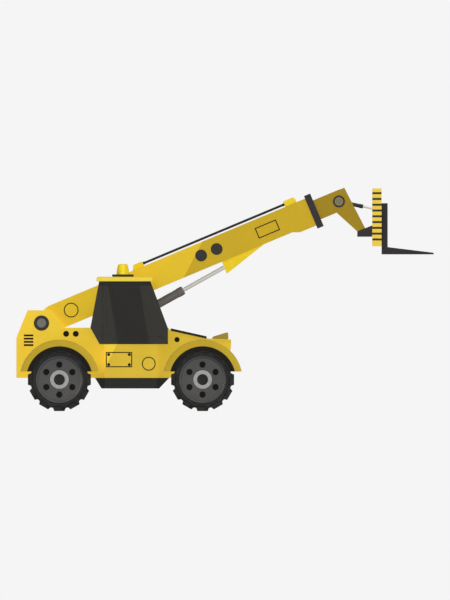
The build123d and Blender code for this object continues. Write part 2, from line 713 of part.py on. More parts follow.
SCREENS = (
    # start of the slope, end of the slope
    ((CAB_FRONT_TOP_X, CAB_TOP_Z), (CAB_FRONT_X, CAB_BELT_Z)),
    ((CAB_REAR_X, REAR_DECK_Z), (CAB_REAR_TOP_X, CAB_TOP_Z)),
)
with BuildPart() as cab_tub:
    slab(rect(TUB_REAR_X, TUB_FRONT_X, FRAME_BOTTOM_Z, CAB_BOTTOM_Z), CAB_INNER, TUB_OUTER)
    slab(rect(FOOTWELL_REAR_X, footwell_front_x, FOOTWELL_Z, CAB_BOTTOM_Z),
         footwell_inner, footwell_outer, mode=Mode.SUBTRACT)
    # lockers behind and below the footwell, open towards the frame
    for x0, x1, z1 in ((TUB_REAR_X + TUB_WALL, FOOTWELL_REAR_X - TUB_WALL, CAB_BOTTOM_Z - TUB_WALL),
                       (FOOTWELL_REAR_X, footwell_front_x, FOOTWELL_Z - TUB_WALL)):
        slab(rect(x0, x1, FRAME_BOTTOM_Z + TUB_WALL, z1), CAB_INNER, footwell_outer, mode=Mode.SUBTRACT)
    # hatch and filler cover on the outside
    slab(rect(HATCH_REAR_X, HATCH_FRONT_X, HATCH_BOTTOM_Z, HATCH_TOP_Z), TUB_OUTER, TUB_OUTER + HATCH)
    disc(FILLER_X, FILLER_Z, FILLER_R, TUB_OUTER, TUB_OUTER + HATCH, flats=WHEEL_FLAT_COUNT)
save(cab_tub.part, "cab_tub", "goldenrod")

with BuildPart() as cab_frame:
    slab(CAB_OUTLINE, CAB_INNER, CAB_OUTER)
    slab(CAB_OUTLINE, CAB_INNER + CAB_WALL, CAB_OUTER - CAB_WALL, mode=Mode.SUBTRACT, margin=CAB_WALL)
    # window in the inner side, doorway in the outer side
    slab(CAB_OUTLINE, CAB_INNER, CAB_INNER + CAB_WALL, mode=Mode.SUBTRACT, margin=PILLAR)
    slab(DOOR_OUTLINE, CAB_OUTER - CAB_WALL, CAB_OUTER, mode=Mode.SUBTRACT, margin=-DOOR_GAP)
    # hole down into the footwell
    slab(rect(FOOTWELL_REAR_X, footwell_front_x, CAB_BOTTOM_Z, CAB_BOTTOM_Z + CAB_WALL),
         footwell_inner, footwell_outer, mode=Mode.SUBTRACT)
    # windscreen and rear window, cut through the sloping end walls
    for start, end in SCREENS:
        slab(screen(start, end, -CAB_WALL - SCREEN_MARGIN, SCREEN_MARGIN), CAB_INNER + PILLAR,
             CAB_OUTER - PILLAR, mode=Mode.SUBTRACT)
    # outer knuckles of the door hinges
    for z in DOOR_HINGE_Z:
        for z0 in (z - HINGE_HALF - HINGE_KNUCKLE, z + HINGE_HALF):
            post(DOOR_HINGE_X, DOOR_HINGE_LATERAL, z0, z0 + HINGE_KNUCKLE, HINGE_R, SMALL_FLAT_COUNT)
            slab(rect(DOOR_HINGE_X - HINGE_TAB, DOOR_HINGE_X, z0, z0 + HINGE_KNUCKLE),
                 CAB_OUTER, CAB_OUTER + HINGE_LEAF)
save(cab_frame.part, "cab_frame", "gray20")

with BuildPart() as cab_glass:
    slab(CAB_OUTLINE, CAB_INNER + GLASS_SETBACK, CAB_INNER + GLASS_SETBACK + GLASS, margin=PILLAR)
    for start, end in SCREENS:
        slab(screen(start, end, -GLASS_SETBACK - GLASS, -GLASS_SETBACK),
             CAB_INNER + PILLAR, CAB_OUTER - PILLAR)
save(cab_glass.part, "cab_glass", "gray30")

roof_z = CAB_TOP_Z + ROOF_THICK
with BuildPart() as cab_roof:
    slab(rect(ROOF_REAR_X, ROOF_FRONT_X, CAB_TOP_Z, roof_z), ROOF_INNER, ROOF_OUTER)
    chamfer(cab_roof.faces().sort_by(Axis.Z)[-1].edges(), ROOF_CHAMFER)
save(cab_roof.part, "cab_roof", "gold")

beacon_z = roof_z + BEACON_PLATE
with BuildPart() as beacon_base:
    slab(rect(BEACON_PLATE_REAR_X, BEACON_PLATE_FRONT_X, roof_z, beacon_z),
         BEACON_LATERAL - BEACON_PLATE_HALF, BEACON_LATERAL + BEACON_PLATE_HALF)
save(beacon_base.part, "beacon_base", "gray20")

beacon_taper = degrees(atan((BEACON_R - BEACON_TOP_R) * cos(pi / PIN_FLAT_COUNT) / BEACON_HEIGHT))
with BuildPart() as beacon:
    with BuildSketch(Plane.XY.offset(beacon_z)) as beacon_foot:
        with Locations((BEACON_X, -BEACON_LATERAL)):
            RegularPolygon(BEACON_R, PIN_FLAT_COUNT)
    extrude(beacon_foot.sketch, amount=BEACON_HEIGHT, taper=beacon_taper)
save(beacon.part, "beacon", "gold")

SEAT_OUTLINE = [(-2360, 1560), (-1880, 1560), (-1860, 1660), (-2280, 1660), (-2320, 2230), (-2390, 2225)]
with BuildPart() as operator_seat:
    slab(rect(SEAT_BASE_REAR_X, SEAT_BASE_FRONT_X, CAB_BOTTOM_Z + CAB_WALL, SEAT_PAN_Z),
         SEAT_INNER + SEAT_BASE_INSET, SEAT_OUTER - SEAT_BASE_INSET)
    slab(SEAT_OUTLINE, SEAT_INNER, SEAT_OUTER)
save(operator_seat.part, "operator_seat", "gray15")

CONSOLE_OUTLINE = [(-1420, FOOTWELL_Z), (-1350, FOOTWELL_Z), (-1480, 1850), (-1560, 1830)]
with BuildPart() as steering_console:
    slab(CONSOLE_OUTLINE, CONSOLE_INNER, CONSOLE_OUTER)
    STEERING = Plane(origin=(STEERING_X, -(CONSOLE_INNER + CONSOLE_OUTER) / 2, STEERING_Z), x_dir=(0, 1, 0),
                     z_dir=(STEERING_TILT, 0, 1))
    with BuildSketch(STEERING) as steering_wheel:
        RegularPolygon(STEERING_R, PIN_FLAT_COUNT)
        RegularPolygon(STEERING_R - STEERING_GRIP, PIN_FLAT_COUNT, mode=Mode.SUBTRACT)
        Rectangle(2 * STEERING_R - STEERING_GRIP, STEERING_SPOKE)
    extrude(steering_wheel.sketch, amount=STEERING_DEPTH)
    with BuildSketch(STEERING) as column:
        RegularPolygon(COLUMN_R, SMALL_FLAT_COUNT)
    extrude(column.sketch, amount=-COLUMN_LENGTH)
save(steering_console.part, "steering_console", "gray15")

# ---------------------------------------------------------------- cab door
door_near = CAB_OUTER - CAB_WALL
with BuildPart() as door_frame:
    slab(DOOR_OUTLINE, door_near, CAB_OUTER)
    slab(DOOR_OUTLINE, door_near, CAB_OUTER, mode=Mode.SUBTRACT, margin=DOOR_RAIL)
    for z in DOOR_HINGE_Z:
        z0, z1 = z - HINGE_HALF + SEAT_GAP, z + HINGE_HALF - SEAT_GAP
        post(DOOR_HINGE_X, DOOR_HINGE_LATERAL, z0, z1, HINGE_R, TRUE_CIRCLE)
        slab(rect(DOOR_HINGE_X, DOOR_HINGE_X + HINGE_TAB, z0, z1), CAB_OUTER, CAB_OUTER + HINGE_LEAF)
save(door_frame.part, "door_frame", "gray20")

with BuildPart() as door_glass:
    slab(DOOR_OUTLINE, CAB_OUTER - GLASS_SETBACK - GLASS, CAB_OUTER - GLASS_SETBACK, margin=DOOR_RAIL)
save(door_glass.part, "door_glass", "gray30")

# ================================================================ engine pod, on the left side
POD_OUTLINE = [
    (TUB_REAR_X, FRAME_BOTTOM_Z), (TUB_FRONT_X, FRAME_BOTTOM_Z), (TUB_FRONT_X, POD_WAIST_Z),
    (CAB_FRONT_X, CAB_BOTTOM_Z), (CAB_HEEL_X, CAB_BOTTOM_Z), (TUB_REAR_X, POD_WAIST_Z),
]
pod_hollow = (-POD_OUTER + POD_WALL, -POD_INNER - POD_WALL)
with BuildPart() as engine_bay:
    slab(POD_OUTLINE, -POD_OUTER, -POD_INNER)
    slab(POD_OUTLINE, *pod_hollow, mode=Mode.SUBTRACT, margin=POD_WALL)
    # open top
    slab([(TUB_REAR_X + POD_WALL, CAB_BOTTOM_Z - POD_WALL), (TUB_FRONT_X - POD_WALL, CAB_BOTTOM_Z - POD_WALL),
          (CAB_FRONT_X - POD_LEDGE, CAB_BOTTOM_Z), (CAB_HEEL_X + POD_LEDGE, CAB_BOTTOM_Z)],
         *pod_hollow, mode=Mode.SUBTRACT)
save(engine_bay.part, "engine_bay", "goldenrod")

HOOD_OUTLINE = [
    (CAB_HEEL_X, POD_SPLIT_Z), (CAB_FRONT_X, POD_SPLIT_Z), (CAB_FRONT_X, POD_TOP_Z - POD_TOP_CHAMFER),
    (CAB_FRONT_X - POD_TOP_CHAMFER, POD_TOP_Z), (POD_REAR_TOP_X, POD_TOP_Z),
]
with BuildPart() as engine_hood:
    slab(HOOD_OUTLINE, -POD_OUTER, -POD_INNER)
    slab(HOOD_OUTLINE, *pod_hollow, mode=Mode.SUBTRACT, margin=POD_WALL)
    # open bottom
    slab(rect(CAB_HEEL_X + POD_WALL, CAB_FRONT_X - POD_WALL, POD_SPLIT_Z, POD_SPLIT_Z + POD_WALL),
         *pod_hollow, mode=Mode.SUBTRACT)
    # grille of sloping slats in the outer side
    slab(rect(GRILLE_REAR_X, GRILLE_FRONT_X, GRILLE_BOTTOM_Z, GRILLE_TOP_Z),
         -POD_OUTER, -POD_OUTER + POD_WALL, mode=Mode.SUBTRACT)
    with BuildSketch(Plane.YZ.offset(GRILLE_REAR_X)) as slats:
        for row in range(SLAT_COUNT):
            z = GRILLE_BOTTOM_Z + (row + 1) * (GRILLE_TOP_Z - GRILLE_BOTTOM_Z) / (SLAT_COUNT + 1)
            with BuildLine():
                Polyline((POD_OUTER, z - SLAT_DROP), (POD_OUTER, z - SLAT_DROP + SLAT),
                         (POD_OUTER - POD_WALL, z + SLAT), (POD_OUTER - POD_WALL, z), close=True)
            make_face()
    extrude(slats.sketch, amount=GRILLE_FRONT_X - GRILLE_REAR_X)
    for x in HOOD_HINGE_X:
        x0, x1 = x - HINGE_HALF + SEAT_GAP, x + HINGE_HALF - SEAT_GAP
        bar(HOOD_HINGE, x0, x1, HINGE_R, flats=TRUE_CIRCLE)
        slab(rect(x0, x1, POD_TOP_Z, POD_TOP_Z + HINGE_LEAF),
             HOOD_HINGE_LATERAL - HINGE_TAB, HOOD_HINGE_LATERAL)
save(engine_hood.part, "engine_hood", "goldenrod")

with BuildPart() as engine_block:
    slab(rect(ENGINE_REAR_X, ENGINE_FRONT_X, ENGINE_BOTTOM_Z, ENGINE_TOP_Z), -ENGINE_OUTER, -ENGINE_INNER)
    for x in (ENGINE_REAR_X + ENGINE_FOOT_INSET, ENGINE_FRONT_X - ENGINE_FOOT_INSET):
        slab(rect(x - ENGINE_FOOT_HALF, x + ENGINE_FOOT_HALF, FRAME_BOTTOM_Z + POD_WALL, ENGINE_BOTTOM_Z),
             -ENGINE_OUTER, -ENGINE_INNER)
save(engine_block.part, "engine_block", "gray30")

# ================================================================ axles
yoke_top = KNUCKLE_HALF_HEIGHT + SEAT_GAP + YOKE_ARM
for name, axle_x in (("rear_axle", REAR_AXLE_X), ("front_axle", FRONT_AXLE_X)):
    with BuildPart() as axle:
        slab(rect(axle_x - BEAM_HALF_WIDTH, axle_x + BEAM_HALF_WIDTH,
                  AXLE_Z - BEAM_HALF_HEIGHT, AXLE_Z + BEAM_HALF_HEIGHT), -YOKE_ROOT, YOKE_ROOT)
        # differential housing in the middle
        with BuildSketch(Plane.YZ.offset(axle_x - DIFF_HALF_LENGTH)) as housing:
            with Locations((0, AXLE_Z)):
                RegularPolygon(DIFF_R, PIN_FLAT_COUNT)
        extrude(housing.sketch, amount=2 * DIFF_HALF_LENGTH)
        # C-shaped yokes that hold the knuckles
        pair(rect(axle_x - YOKE_HALF_WIDTH, axle_x + YOKE_HALF_WIDTH, AXLE_Z - yoke_top, AXLE_Z + yoke_top),
             YOKE_ROOT, KINGPIN + YOKE_HALF_WIDTH)
        pair(rect(axle_x - YOKE_HALF_WIDTH, axle_x + YOKE_HALF_WIDTH,
                  AXLE_Z - KNUCKLE_HALF_HEIGHT - SEAT_GAP, AXLE_Z + KNUCKLE_HALF_HEIGHT + SEAT_GAP),
             YOKE_ROOT + YOKE_BACK, KINGPIN + YOKE_HALF_WIDTH, mode=Mode.SUBTRACT)
        for lateral in (KINGPIN, -KINGPIN):
            for z0 in (AXLE_Z + yoke_top, AXLE_Z - yoke_top - KINGPIN_CAP):
                post(axle_x, lateral, z0, z0 + KINGPIN_CAP, KINGPIN_CAP_R, SMALL_FLAT_COUNT)
    save(axle.part, name, "gray30")

# ================================================================ one corner: knuckle, rim, tyre and mudguard
# Each is modelled on the right side, with its axle at x = 0, and then placed at the four corners.
CORNERS = (
    # suffix, axle x, mirrored to the left side
    ("rear_right", REAR_AXLE_X, False),
    ("rear_left", REAR_AXLE_X, True),
    ("front_right", FRONT_AXLE_X, False),
    ("front_left", FRONT_AXLE_X, True),
)
with BuildPart() as knuckle:
    post(0, KINGPIN, AXLE_Z - KNUCKLE_HALF_HEIGHT, AXLE_Z + KNUCKLE_HALF_HEIGHT, KNUCKLE_R, TRUE_CIRCLE)
    drum_near = KINGPIN + SPINDLE_NECK
    drum_far = drum_near + SPINDLE_DRUM
    disc(0, 0, SPINDLE_R, KINGPIN, drum_near, HUB)
    disc(0, 0, SPINDLE_DRUM_R, drum_near, drum_far, HUB)
    disc(0, 0, SPINDLE_R, drum_far, RIM_WEB_INNER - SEAT_GAP, HUB, flats=TRUE_CIRCLE)
    # brake shield behind the rim's holes
    disc(0, 0, SHIELD_R, drum_far - SHIELD, drum_far, HUB, flats=WHEEL_FLAT_COUNT)
    # arms that carry the mudguard straps
    slab(rect(-STRAP_FAR, STRAP_FAR, -STEER_ARM_HALF_HEIGHT, STEER_ARM_HALF_HEIGHT),
         STRAP_LATERAL, STRAP_LATERAL + STEER_ARM, HUB)

web_outer = RIM_WEB_INNER + RIM_WEB
with BuildPart() as rim:
    disc(0, 0, RIM_R, TYRE_INNER + RIM_LIP, TYRE_OUTER - RIM_LIP, HUB, flats=WHEEL_FLAT_COUNT)
    for near, far in ((TYRE_INNER, RIM_WEB_INNER), (web_outer, TYRE_OUTER)):
        disc(0, 0, RIM_R - RIM_WALL, near, far, HUB, Mode.SUBTRACT, WHEEL_FLAT_COUNT)
    disc(0, 0, HUB_RING_R, web_outer, web_outer + HUB_RING_HEIGHT, HUB)
    disc(0, 0, HUB_CAP_R, web_outer, web_outer + HUB_CAP_HEIGHT, HUB)
    with BuildSketch(HUB.offset(RIM_WEB_INNER)) as holes:
        with PolarLocations(RIM_HOLE_CIRCLE_R, RIM_HOLE_COUNT, start_angle=90):
            RegularPolygon(RIM_HOLE_R, SMALL_FLAT_COUNT)
    extrude(holes.sketch, amount=RIM_WEB, mode=Mode.SUBTRACT)

# Tread lugs: two rows of slanting blocks that lean into each other as chevrons.
LUG_BASE_R = CARCASS_R - LUG_ROOT_DEPTH
lug_sweep = TYRE_R * tan(radians(LUG_SWEEP_ANGLE))
lug_length = (TYRE_WIDTH - LUG_ROW_GAP) / 2
LUG_ROWS = (
    # lateral where the lug starts, tangential shift there, shift over the lug's length
    (TYRE_INNER, -lug_sweep / 2, lug_sweep),
    (TYRE_OUTER - lug_length, lug_sweep / 2, -lug_sweep),
)


def lug_block(start, shift, sweep):
    """One lug at the front of the wheel, leaning along the tread."""
    root = LUG_BASE_R * tan(radians(LUG_ROOT_ANGLE / 2))
    tip = TYRE_R * tan(radians(LUG_TIP_ANGLE / 2))
    with BuildPart() as block:
        with BuildSketch(Plane.XY.offset(start)) as face:
            with BuildLine():
                Polyline((LUG_BASE_R, shift - root), (TYRE_R, shift - tip), (TYRE_R, shift + tip),
                         (LUG_BASE_R, shift + root), close=True)
            make_face()
        extrude(face.sketch, amount=hypot(sweep, lug_length), dir=(0, sweep, lug_length))
    return block.part


with BuildPart(HUB) as tyre:
    disc(0, 0, CARCASS_R, TYRE_INNER, TYRE_OUTER, HUB, flats=WHEEL_FLAT_COUNT)
    chamfer(tyre.edges().filter_by(Plane.XZ), SHOULDER)
    disc(0, 0, RIM_R, TYRE_INNER, TYRE_OUTER, HUB, Mode.SUBTRACT, WHEEL_FLAT_COUNT)
    for start, shift, sweep in LUG_ROWS:
        with PolarLocations(0, LUG_COUNT, start_angle=90):
            add(lug_block(start, shift, sweep))

with BuildPart() as mudguard:
    disc(0, 0, GUARD_SKIN_R, GUARD_INNER, GUARD_OUTER, HUB, flats=GUARD_FLAT_COUNT)
    disc(0, 0, GUARD_SKIN_R - GUARD_SKIN, GUARD_INNER, GUARD_OUTER - GUARD_FACE, HUB,
         Mode.SUBTRACT, GUARD_FLAT_COUNT)
    disc(0, 0, GUARD_FACE_R, GUARD_OUTER - GUARD_FACE, GUARD_OUTER, HUB, Mode.SUBTRACT, GUARD_FLAT_COUNT)
    slab(rect(-GUARD_SKIN_R, GUARD_SKIN_R, -GUARD_SKIN_R, GUARD_BOTTOM_RISE), GUARD_INNER, GUARD_OUTER, HUB,
         Mode.SUBTRACT)
    # straps from the knuckle's arms, up behind the tyre and out to the skin
    strap_top = GUARD_SKIN_R - GUARD_SKIN
    for x0, x1 in ((STRAP_NEAR, STRAP_FAR), (-STRAP_FAR, -STRAP_NEAR)):
        slab(rect(x0, x1, STEER_ARM_HALF_HEIGHT, strap_top - GUARD_STRAP),
             STRAP_LATERAL, STRAP_LATERAL + GUARD_STRAP, HUB)
        slab(rect(x0, x1, strap_top - 2 * GUARD_STRAP, strap_top - GUARD_STRAP / 2),
             STRAP_LATERAL, GUARD_INNER + STRAP_LAP, HUB)

for corner, axle_x, mirrored in CORNERS:
    for shape, piece, colour in ((knuckle, "knuckle", "gray30"), (rim, "rim", "gray40"),
                                 (tyre, "tyre", "gray15"), (mudguard, "mudguard", "olive")):
        with BuildPart() as placed:
            with Locations((axle_x, 0, 0)):
                add(shape.part)
            if mirrored:
                mirror(about=Plane.XZ, mode=Mode.REPLACE)
        save(placed.part, f"{piece}_{corner}", colour)

# ================================================================ boom
tube_wall_inner = BOOM_HALF_WIDTH - BOOM_WALL
with BuildPart() as outer_boom:
    slab(rect(BOOM_TUBE_START, BOOM_LENGTH, -BOOM_HALF_DEPTH, BOOM_HALF_DEPTH),
         -BOOM_HALF_WIDTH, BOOM_HALF_WIDTH, BOOM)
    slab(rect(BOOM_CAVITY_START, BOOM_LENGTH, BOOM_WALL - BOOM_HALF_DEPTH, BOOM_HALF_DEPTH - BOOM_WALL),
         -tube_wall_inner, tube_wall_inner, BOOM, Mode.SUBTRACT)
    # tail plates round the pivot tube
    for near, far in both(BOOM_HALF_WIDTH - TAIL_PLATE, BOOM_HALF_WIDTH):
        with BuildSketch(BOOM.offset(near)) as tail:
            with BuildLine():
                Polyline((BOOM_TUBE_START, -BOOM_HALF_DEPTH), (BOOM_TUBE_START, BOOM_HALF_DEPTH),
                         (TAIL_SHOULDER_U, BOOM_HALF_DEPTH), (TAIL_END_U, TAIL_END_TOP),
                         (TAIL_END_U, TAIL_END_BOTTOM), (TAIL_FOOT_U, -BOOM_HALF_DEPTH), close=True)
            make_face()
            fillet(tail.vertices().sort_by_distance((TAIL_SHOULDER_U, BOOM_HALF_DEPTH))[0], TAIL_ROUND)
        extrude(tail.sketch, amount=far - near)
    disc(0, 0, PIVOT_TUBE_R, -PIVOT_TUBE_HALF, PIVOT_TUBE_HALF, BOOM)
    disc(0, 0, room(PIN_R), -PIVOT_TUBE_HALF, PIVOT_TUBE_HALF, BOOM, Mode.SUBTRACT)
    # flared nose below
    slab([(BOOM_LENGTH - NOSE_REACH, -BOOM_HALF_DEPTH), (BOOM_LENGTH - NOSE_KNEE, NOSE_DROP_W),
          (BOOM_LENGTH, NOSE_DROP_W),
          (BOOM_LENGTH, -BOOM_HALF_DEPTH)], -BOOM_HALF_WIDTH, BOOM_HALF_WIDTH, BOOM)
    # two ears that hold the rod eye of the lift cylinder, with the slot that it dips into
    ear_near = SLOT_HALF_WIDTH + SIDE_GAP
    ear_far = ear_near + BRACKET_PLATE
    pair([(BRACKET_REAR_U, -BOOM_HALF_DEPTH), (BRACKET_FRONT_U, -BOOM_HALF_DEPTH),
          (BRACKET_REAR_U, BRACKET_W)],
         ear_near, ear_far, BOOM)
    slab(rect(SLOT_REAR_U, SLOT_FRONT_U, -BOOM_HALF_DEPTH, BOOM_WALL - BOOM_HALF_DEPTH),
         -SLOT_HALF_WIDTH, SLOT_HALF_WIDTH, BOOM, Mode.SUBTRACT)
    discs(LIFT_EYE_U, LIFT_EYE_W, BRACKET_BOSS_R, ear_far, ear_far + BRACKET_BOSS, BOOM)
    # covers on both flanks
    for u, w, radius, height in ROUND_COVERS:
        discs(u, w, radius, BOOM_HALF_WIDTH, BOOM_HALF_WIDTH + height, BOOM)
    pair(rect(PLATE_COVER_U - PLATE_COVER_LENGTH / 2, PLATE_COVER_U + PLATE_COVER_LENGTH / 2,
              PLATE_COVER_W - PLATE_COVER_DEPTH / 2, PLATE_COVER_W + PLATE_COVER_DEPTH / 2),
         BOOM_HALF_WIDTH, BOOM_HALF_WIDTH + PLATE_COVER, BOOM)
save(outer_boom.part, "outer_boom", "goldenrod")

# Slide pads run on the inner boom: they fill the clearance up to the seat gap.
collar_end = BOOM_LENGTH + COLLAR_LENGTH
stage_web = STAGE_HALF_WIDTH - STAGE_WALL
SIDE_PADS = (
    # bottom, top
    (-200, -120),
    (60, 130),
)
TOP_PAD_INNER, TOP_PAD_OUTER = 40, 110
with BuildPart() as boom_collar:
    slab(rect(BOOM_LENGTH, collar_end, COLLAR_BOTTOM, COLLAR_TOP),
         -COLLAR_HALF_WIDTH, COLLAR_HALF_WIDTH, BOOM)
    slab(rect(BOOM_LENGTH, collar_end, STAGE_BOTTOM - PAD, STAGE_TOP + PAD),
         -STAGE_HALF_WIDTH - PAD, STAGE_HALF_WIDTH + PAD, BOOM, Mode.SUBTRACT)
    for bottom, top in SIDE_PADS:
        pair(rect(BOOM_LENGTH, collar_end, bottom, top),
             STAGE_HALF_WIDTH + SEAT_GAP, STAGE_HALF_WIDTH + PAD, BOOM)
    pair(rect(BOOM_LENGTH, collar_end, STAGE_BOTTOM - PAD, STAGE_BOTTOM - SEAT_GAP),
         stage_web, STAGE_HALF_WIDTH, BOOM)
    pair(rect(BOOM_LENGTH, collar_end, STAGE_TOP + SEAT_GAP, STAGE_TOP + PAD),
         TOP_PAD_INNER, TOP_PAD_OUTER, BOOM)
save(boom_collar.part, "boom_collar", "gray20")

with BuildPart() as boom_pipes:
    for lateral in (PIPE_LATERAL, -PIPE_LATERAL):
        foot = BOOM.from_local_coords(Vector(PIPE_START, PIPE_W, lateral))
        with BuildSketch(Plane(origin=foot, z_dir=BOOM_DIR)) as tube:
            RegularPolygon(PIPE_R, SMALL_FLAT_COUNT)
        extrude(tube.sketch, amount=PIPE_END - PIPE_START)
save(boom_pipes.part, "boom_pipes", "gray10")

with BuildPart() as pipe_blocks:
    for block in (REAR_BLOCK, FRONT_BLOCK):
        slab(block, -PIPE_BLOCK_HALF_WIDTH, PIPE_BLOCK_HALF_WIDTH, BOOM)
save(pipe_blocks.part, "pipe_blocks", "goldenrod")

REAR_PAD_HALF_WIDTH = 90
REAR_PAD_BOTTOM, REAR_PAD_TOP = -150, 100
with BuildPart() as inner_boom:
    pair(rect(STAGE_START, STAGE_END, STAGE_BOTTOM, STAGE_TOP), stage_web, STAGE_HALF_WIDTH, BOOM)
    slab(rect(STAGE_START, STAGE_END, STAGE_TOP - STAGE_WALL, STAGE_TOP), -stage_web, stage_web, BOOM)
    slab(rect(STAGE_START, STAGE_END, STAGE_FLOOR, STAGE_FLOOR + STAGE_WALL), -stage_web, stage_web, BOOM)
    # slide pads at the rear end, inside the outer boom
    pad_end = STAGE_START + PAD_LENGTH
    pad_reach = BOOM_HALF_DEPTH - BOOM_WALL - SEAT_GAP
    slab(rect(STAGE_START, pad_end, STAGE_TOP, pad_reach), -REAR_PAD_HALF_WIDTH, REAR_PAD_HALF_WIDTH, BOOM)
    pair(rect(STAGE_START, pad_end, -pad_reach, STAGE_BOTTOM), stage_web, STAGE_HALF_WIDTH, BOOM)
    pair(rect(STAGE_START, pad_end, REAR_PAD_BOTTOM, REAR_PAD_TOP),
         STAGE_HALF_WIDTH, tube_wall_inner - SEAT_GAP, BOOM)
save(inner_boom.part, "inner_boom", "olive")

HEAD_OUTLINE = [
    (STAGE_END, STAGE_TOP), (HEAD_TOP_U, HEAD_TOP_W), (HEAD_TOE_FRONT_U, HEAD_TOE_W),
    (HEAD_TOE_REAR_U, HEAD_TOE_W), (STAGE_END, STAGE_BOTTOM),
]
head_inner = HEAD_HALF_WIDTH - HEAD_PLATE
boss_far = HEAD_HALF_WIDTH + TRUNNION_BOSS
with BuildPart() as boom_head:
    pair(HEAD_OUTLINE, head_inner, HEAD_HALF_WIDTH, BOOM)
    # ears below for the tilt pin
    discs(TILT_U, TILT_W, HEAD_EAR_R, head_inner, HEAD_HALF_WIDTH, BOOM)
    pair([(HEAD_TOE_REAR_U, HEAD_TOE_W), (HEAD_TOE_FRONT_U, HEAD_TOE_W), (TILT_U + HEAD_EAR_R, TILT_W),
          (TILT_U - HEAD_EAR_R, TILT_W)], head_inner, HEAD_HALF_WIDTH, BOOM)
    discs(TILT_U, TILT_W, room(TILT_PIN_R - SEAT_GAP), head_inner, HEAD_HALF_WIDTH, BOOM, Mode.SUBTRACT)
    # top tie and cross tube between the cheeks
    slab(rect(STAGE_END, STAGE_END + HEAD_TIE_LENGTH, STAGE_TOP - STAGE_WALL, STAGE_TOP),
         -head_inner, head_inner, BOOM)
    disc(HEAD_TUBE_U, HEAD_TUBE_W, HEAD_TUBE_R, -head_inner, head_inner, BOOM)
    # trunnion bosses with blank caps
    discs(TRUNNION_U, TRUNNION_W, TRUNNION_BOSS_R, HEAD_HALF_WIDTH, boss_far, BOOM)
    discs(TRUNNION_U, TRUNNION_W, TRUNNION_CAP_R, boss_far, boss_far + TRUNNION_CAP, BOOM)
    discs(TRUNNION_U, TRUNNION_W, room(TRUNNION_R), head_inner, HEAD_HALF_WIDTH, BOOM, Mode.SUBTRACT)
save(boom_head.part, "boom_head", "olive")

# ================================================================ lift cylinder
with BuildPart() as lift_barrel:
    disc(0, 0, LIFT_FOOT_R, -LIFT_FOOT_HALF, LIFT_FOOT_HALF, LIFT)
    slab(rect(0, LIFT_BARREL_START, -LIFT_FOOT_HALF, LIFT_FOOT_HALF), -LIFT_NECK_HALF, LIFT_NECK_HALF, LIFT)
    bar(LIFT, LIFT_BARREL_START, LIFT_BARREL_END, LIFT_BARREL_R, flats=WHEEL_FLAT_COUNT)
    disc(0, 0, room(TRUNNION_R), -LIFT_FOOT_HALF, LIFT_FOOT_HALF, LIFT, Mode.SUBTRACT)
    bar(LIFT, LIFT_BARREL_START + LIFT_CAP_WALL, LIFT_BARREL_END, room(LIFT_ROD_R), Mode.SUBTRACT)
save(lift_barrel.part, "lift_barrel", "gray30")

with BuildPart() as lift_rod:
    disc(LIFT_LENGTH, 0, LIFT_EYE_R, -LIFT_EYE_HALF, LIFT_EYE_HALF, LIFT)
    bar(LIFT, LIFT_ROD_START, LIFT_LENGTH, LIFT_ROD_R, flats=TRUE_CIRCLE)
save(lift_rod.part, "lift_rod", "gray70")

# ================================================================ crowd cylinder
with BuildPart() as crowd_barrel:
    bar(CROWD, -CROWD_TAIL, CROWD_BARREL_END, CROWD_BARREL_R)
    disc(0, 0, CROWD_COLLAR_R, -CROWD_COLLAR_HALF, CROWD_COLLAR_HALF, CROWD)
    disc(0, 0, TRUNNION_R, -HEAD_HALF_WIDTH + SEAT_GAP, HEAD_HALF_WIDTH - SEAT_GAP, CROWD, flats=TRUE_CIRCLE)
    bar(CROWD, CROWD_CAP_WALL - CROWD_TAIL, CROWD_BARREL_END, room(CROWD_ROD_R), Mode.SUBTRACT)
save(crowd_barrel.part, "crowd_barrel", "gray30")

with BuildPart() as crowd_rod:
    disc(CROWD_LENGTH, 0, CROWD_EYE_R, -CROWD_EYE_HALF, CROWD_EYE_HALF, CROWD)
    bar(CROWD, CROWD_ROD_START, CROWD_LENGTH, CROWD_ROD_R, flats=TRUE_CIRCLE)
save(crowd_rod.part, "crowd_rod", "gray70")

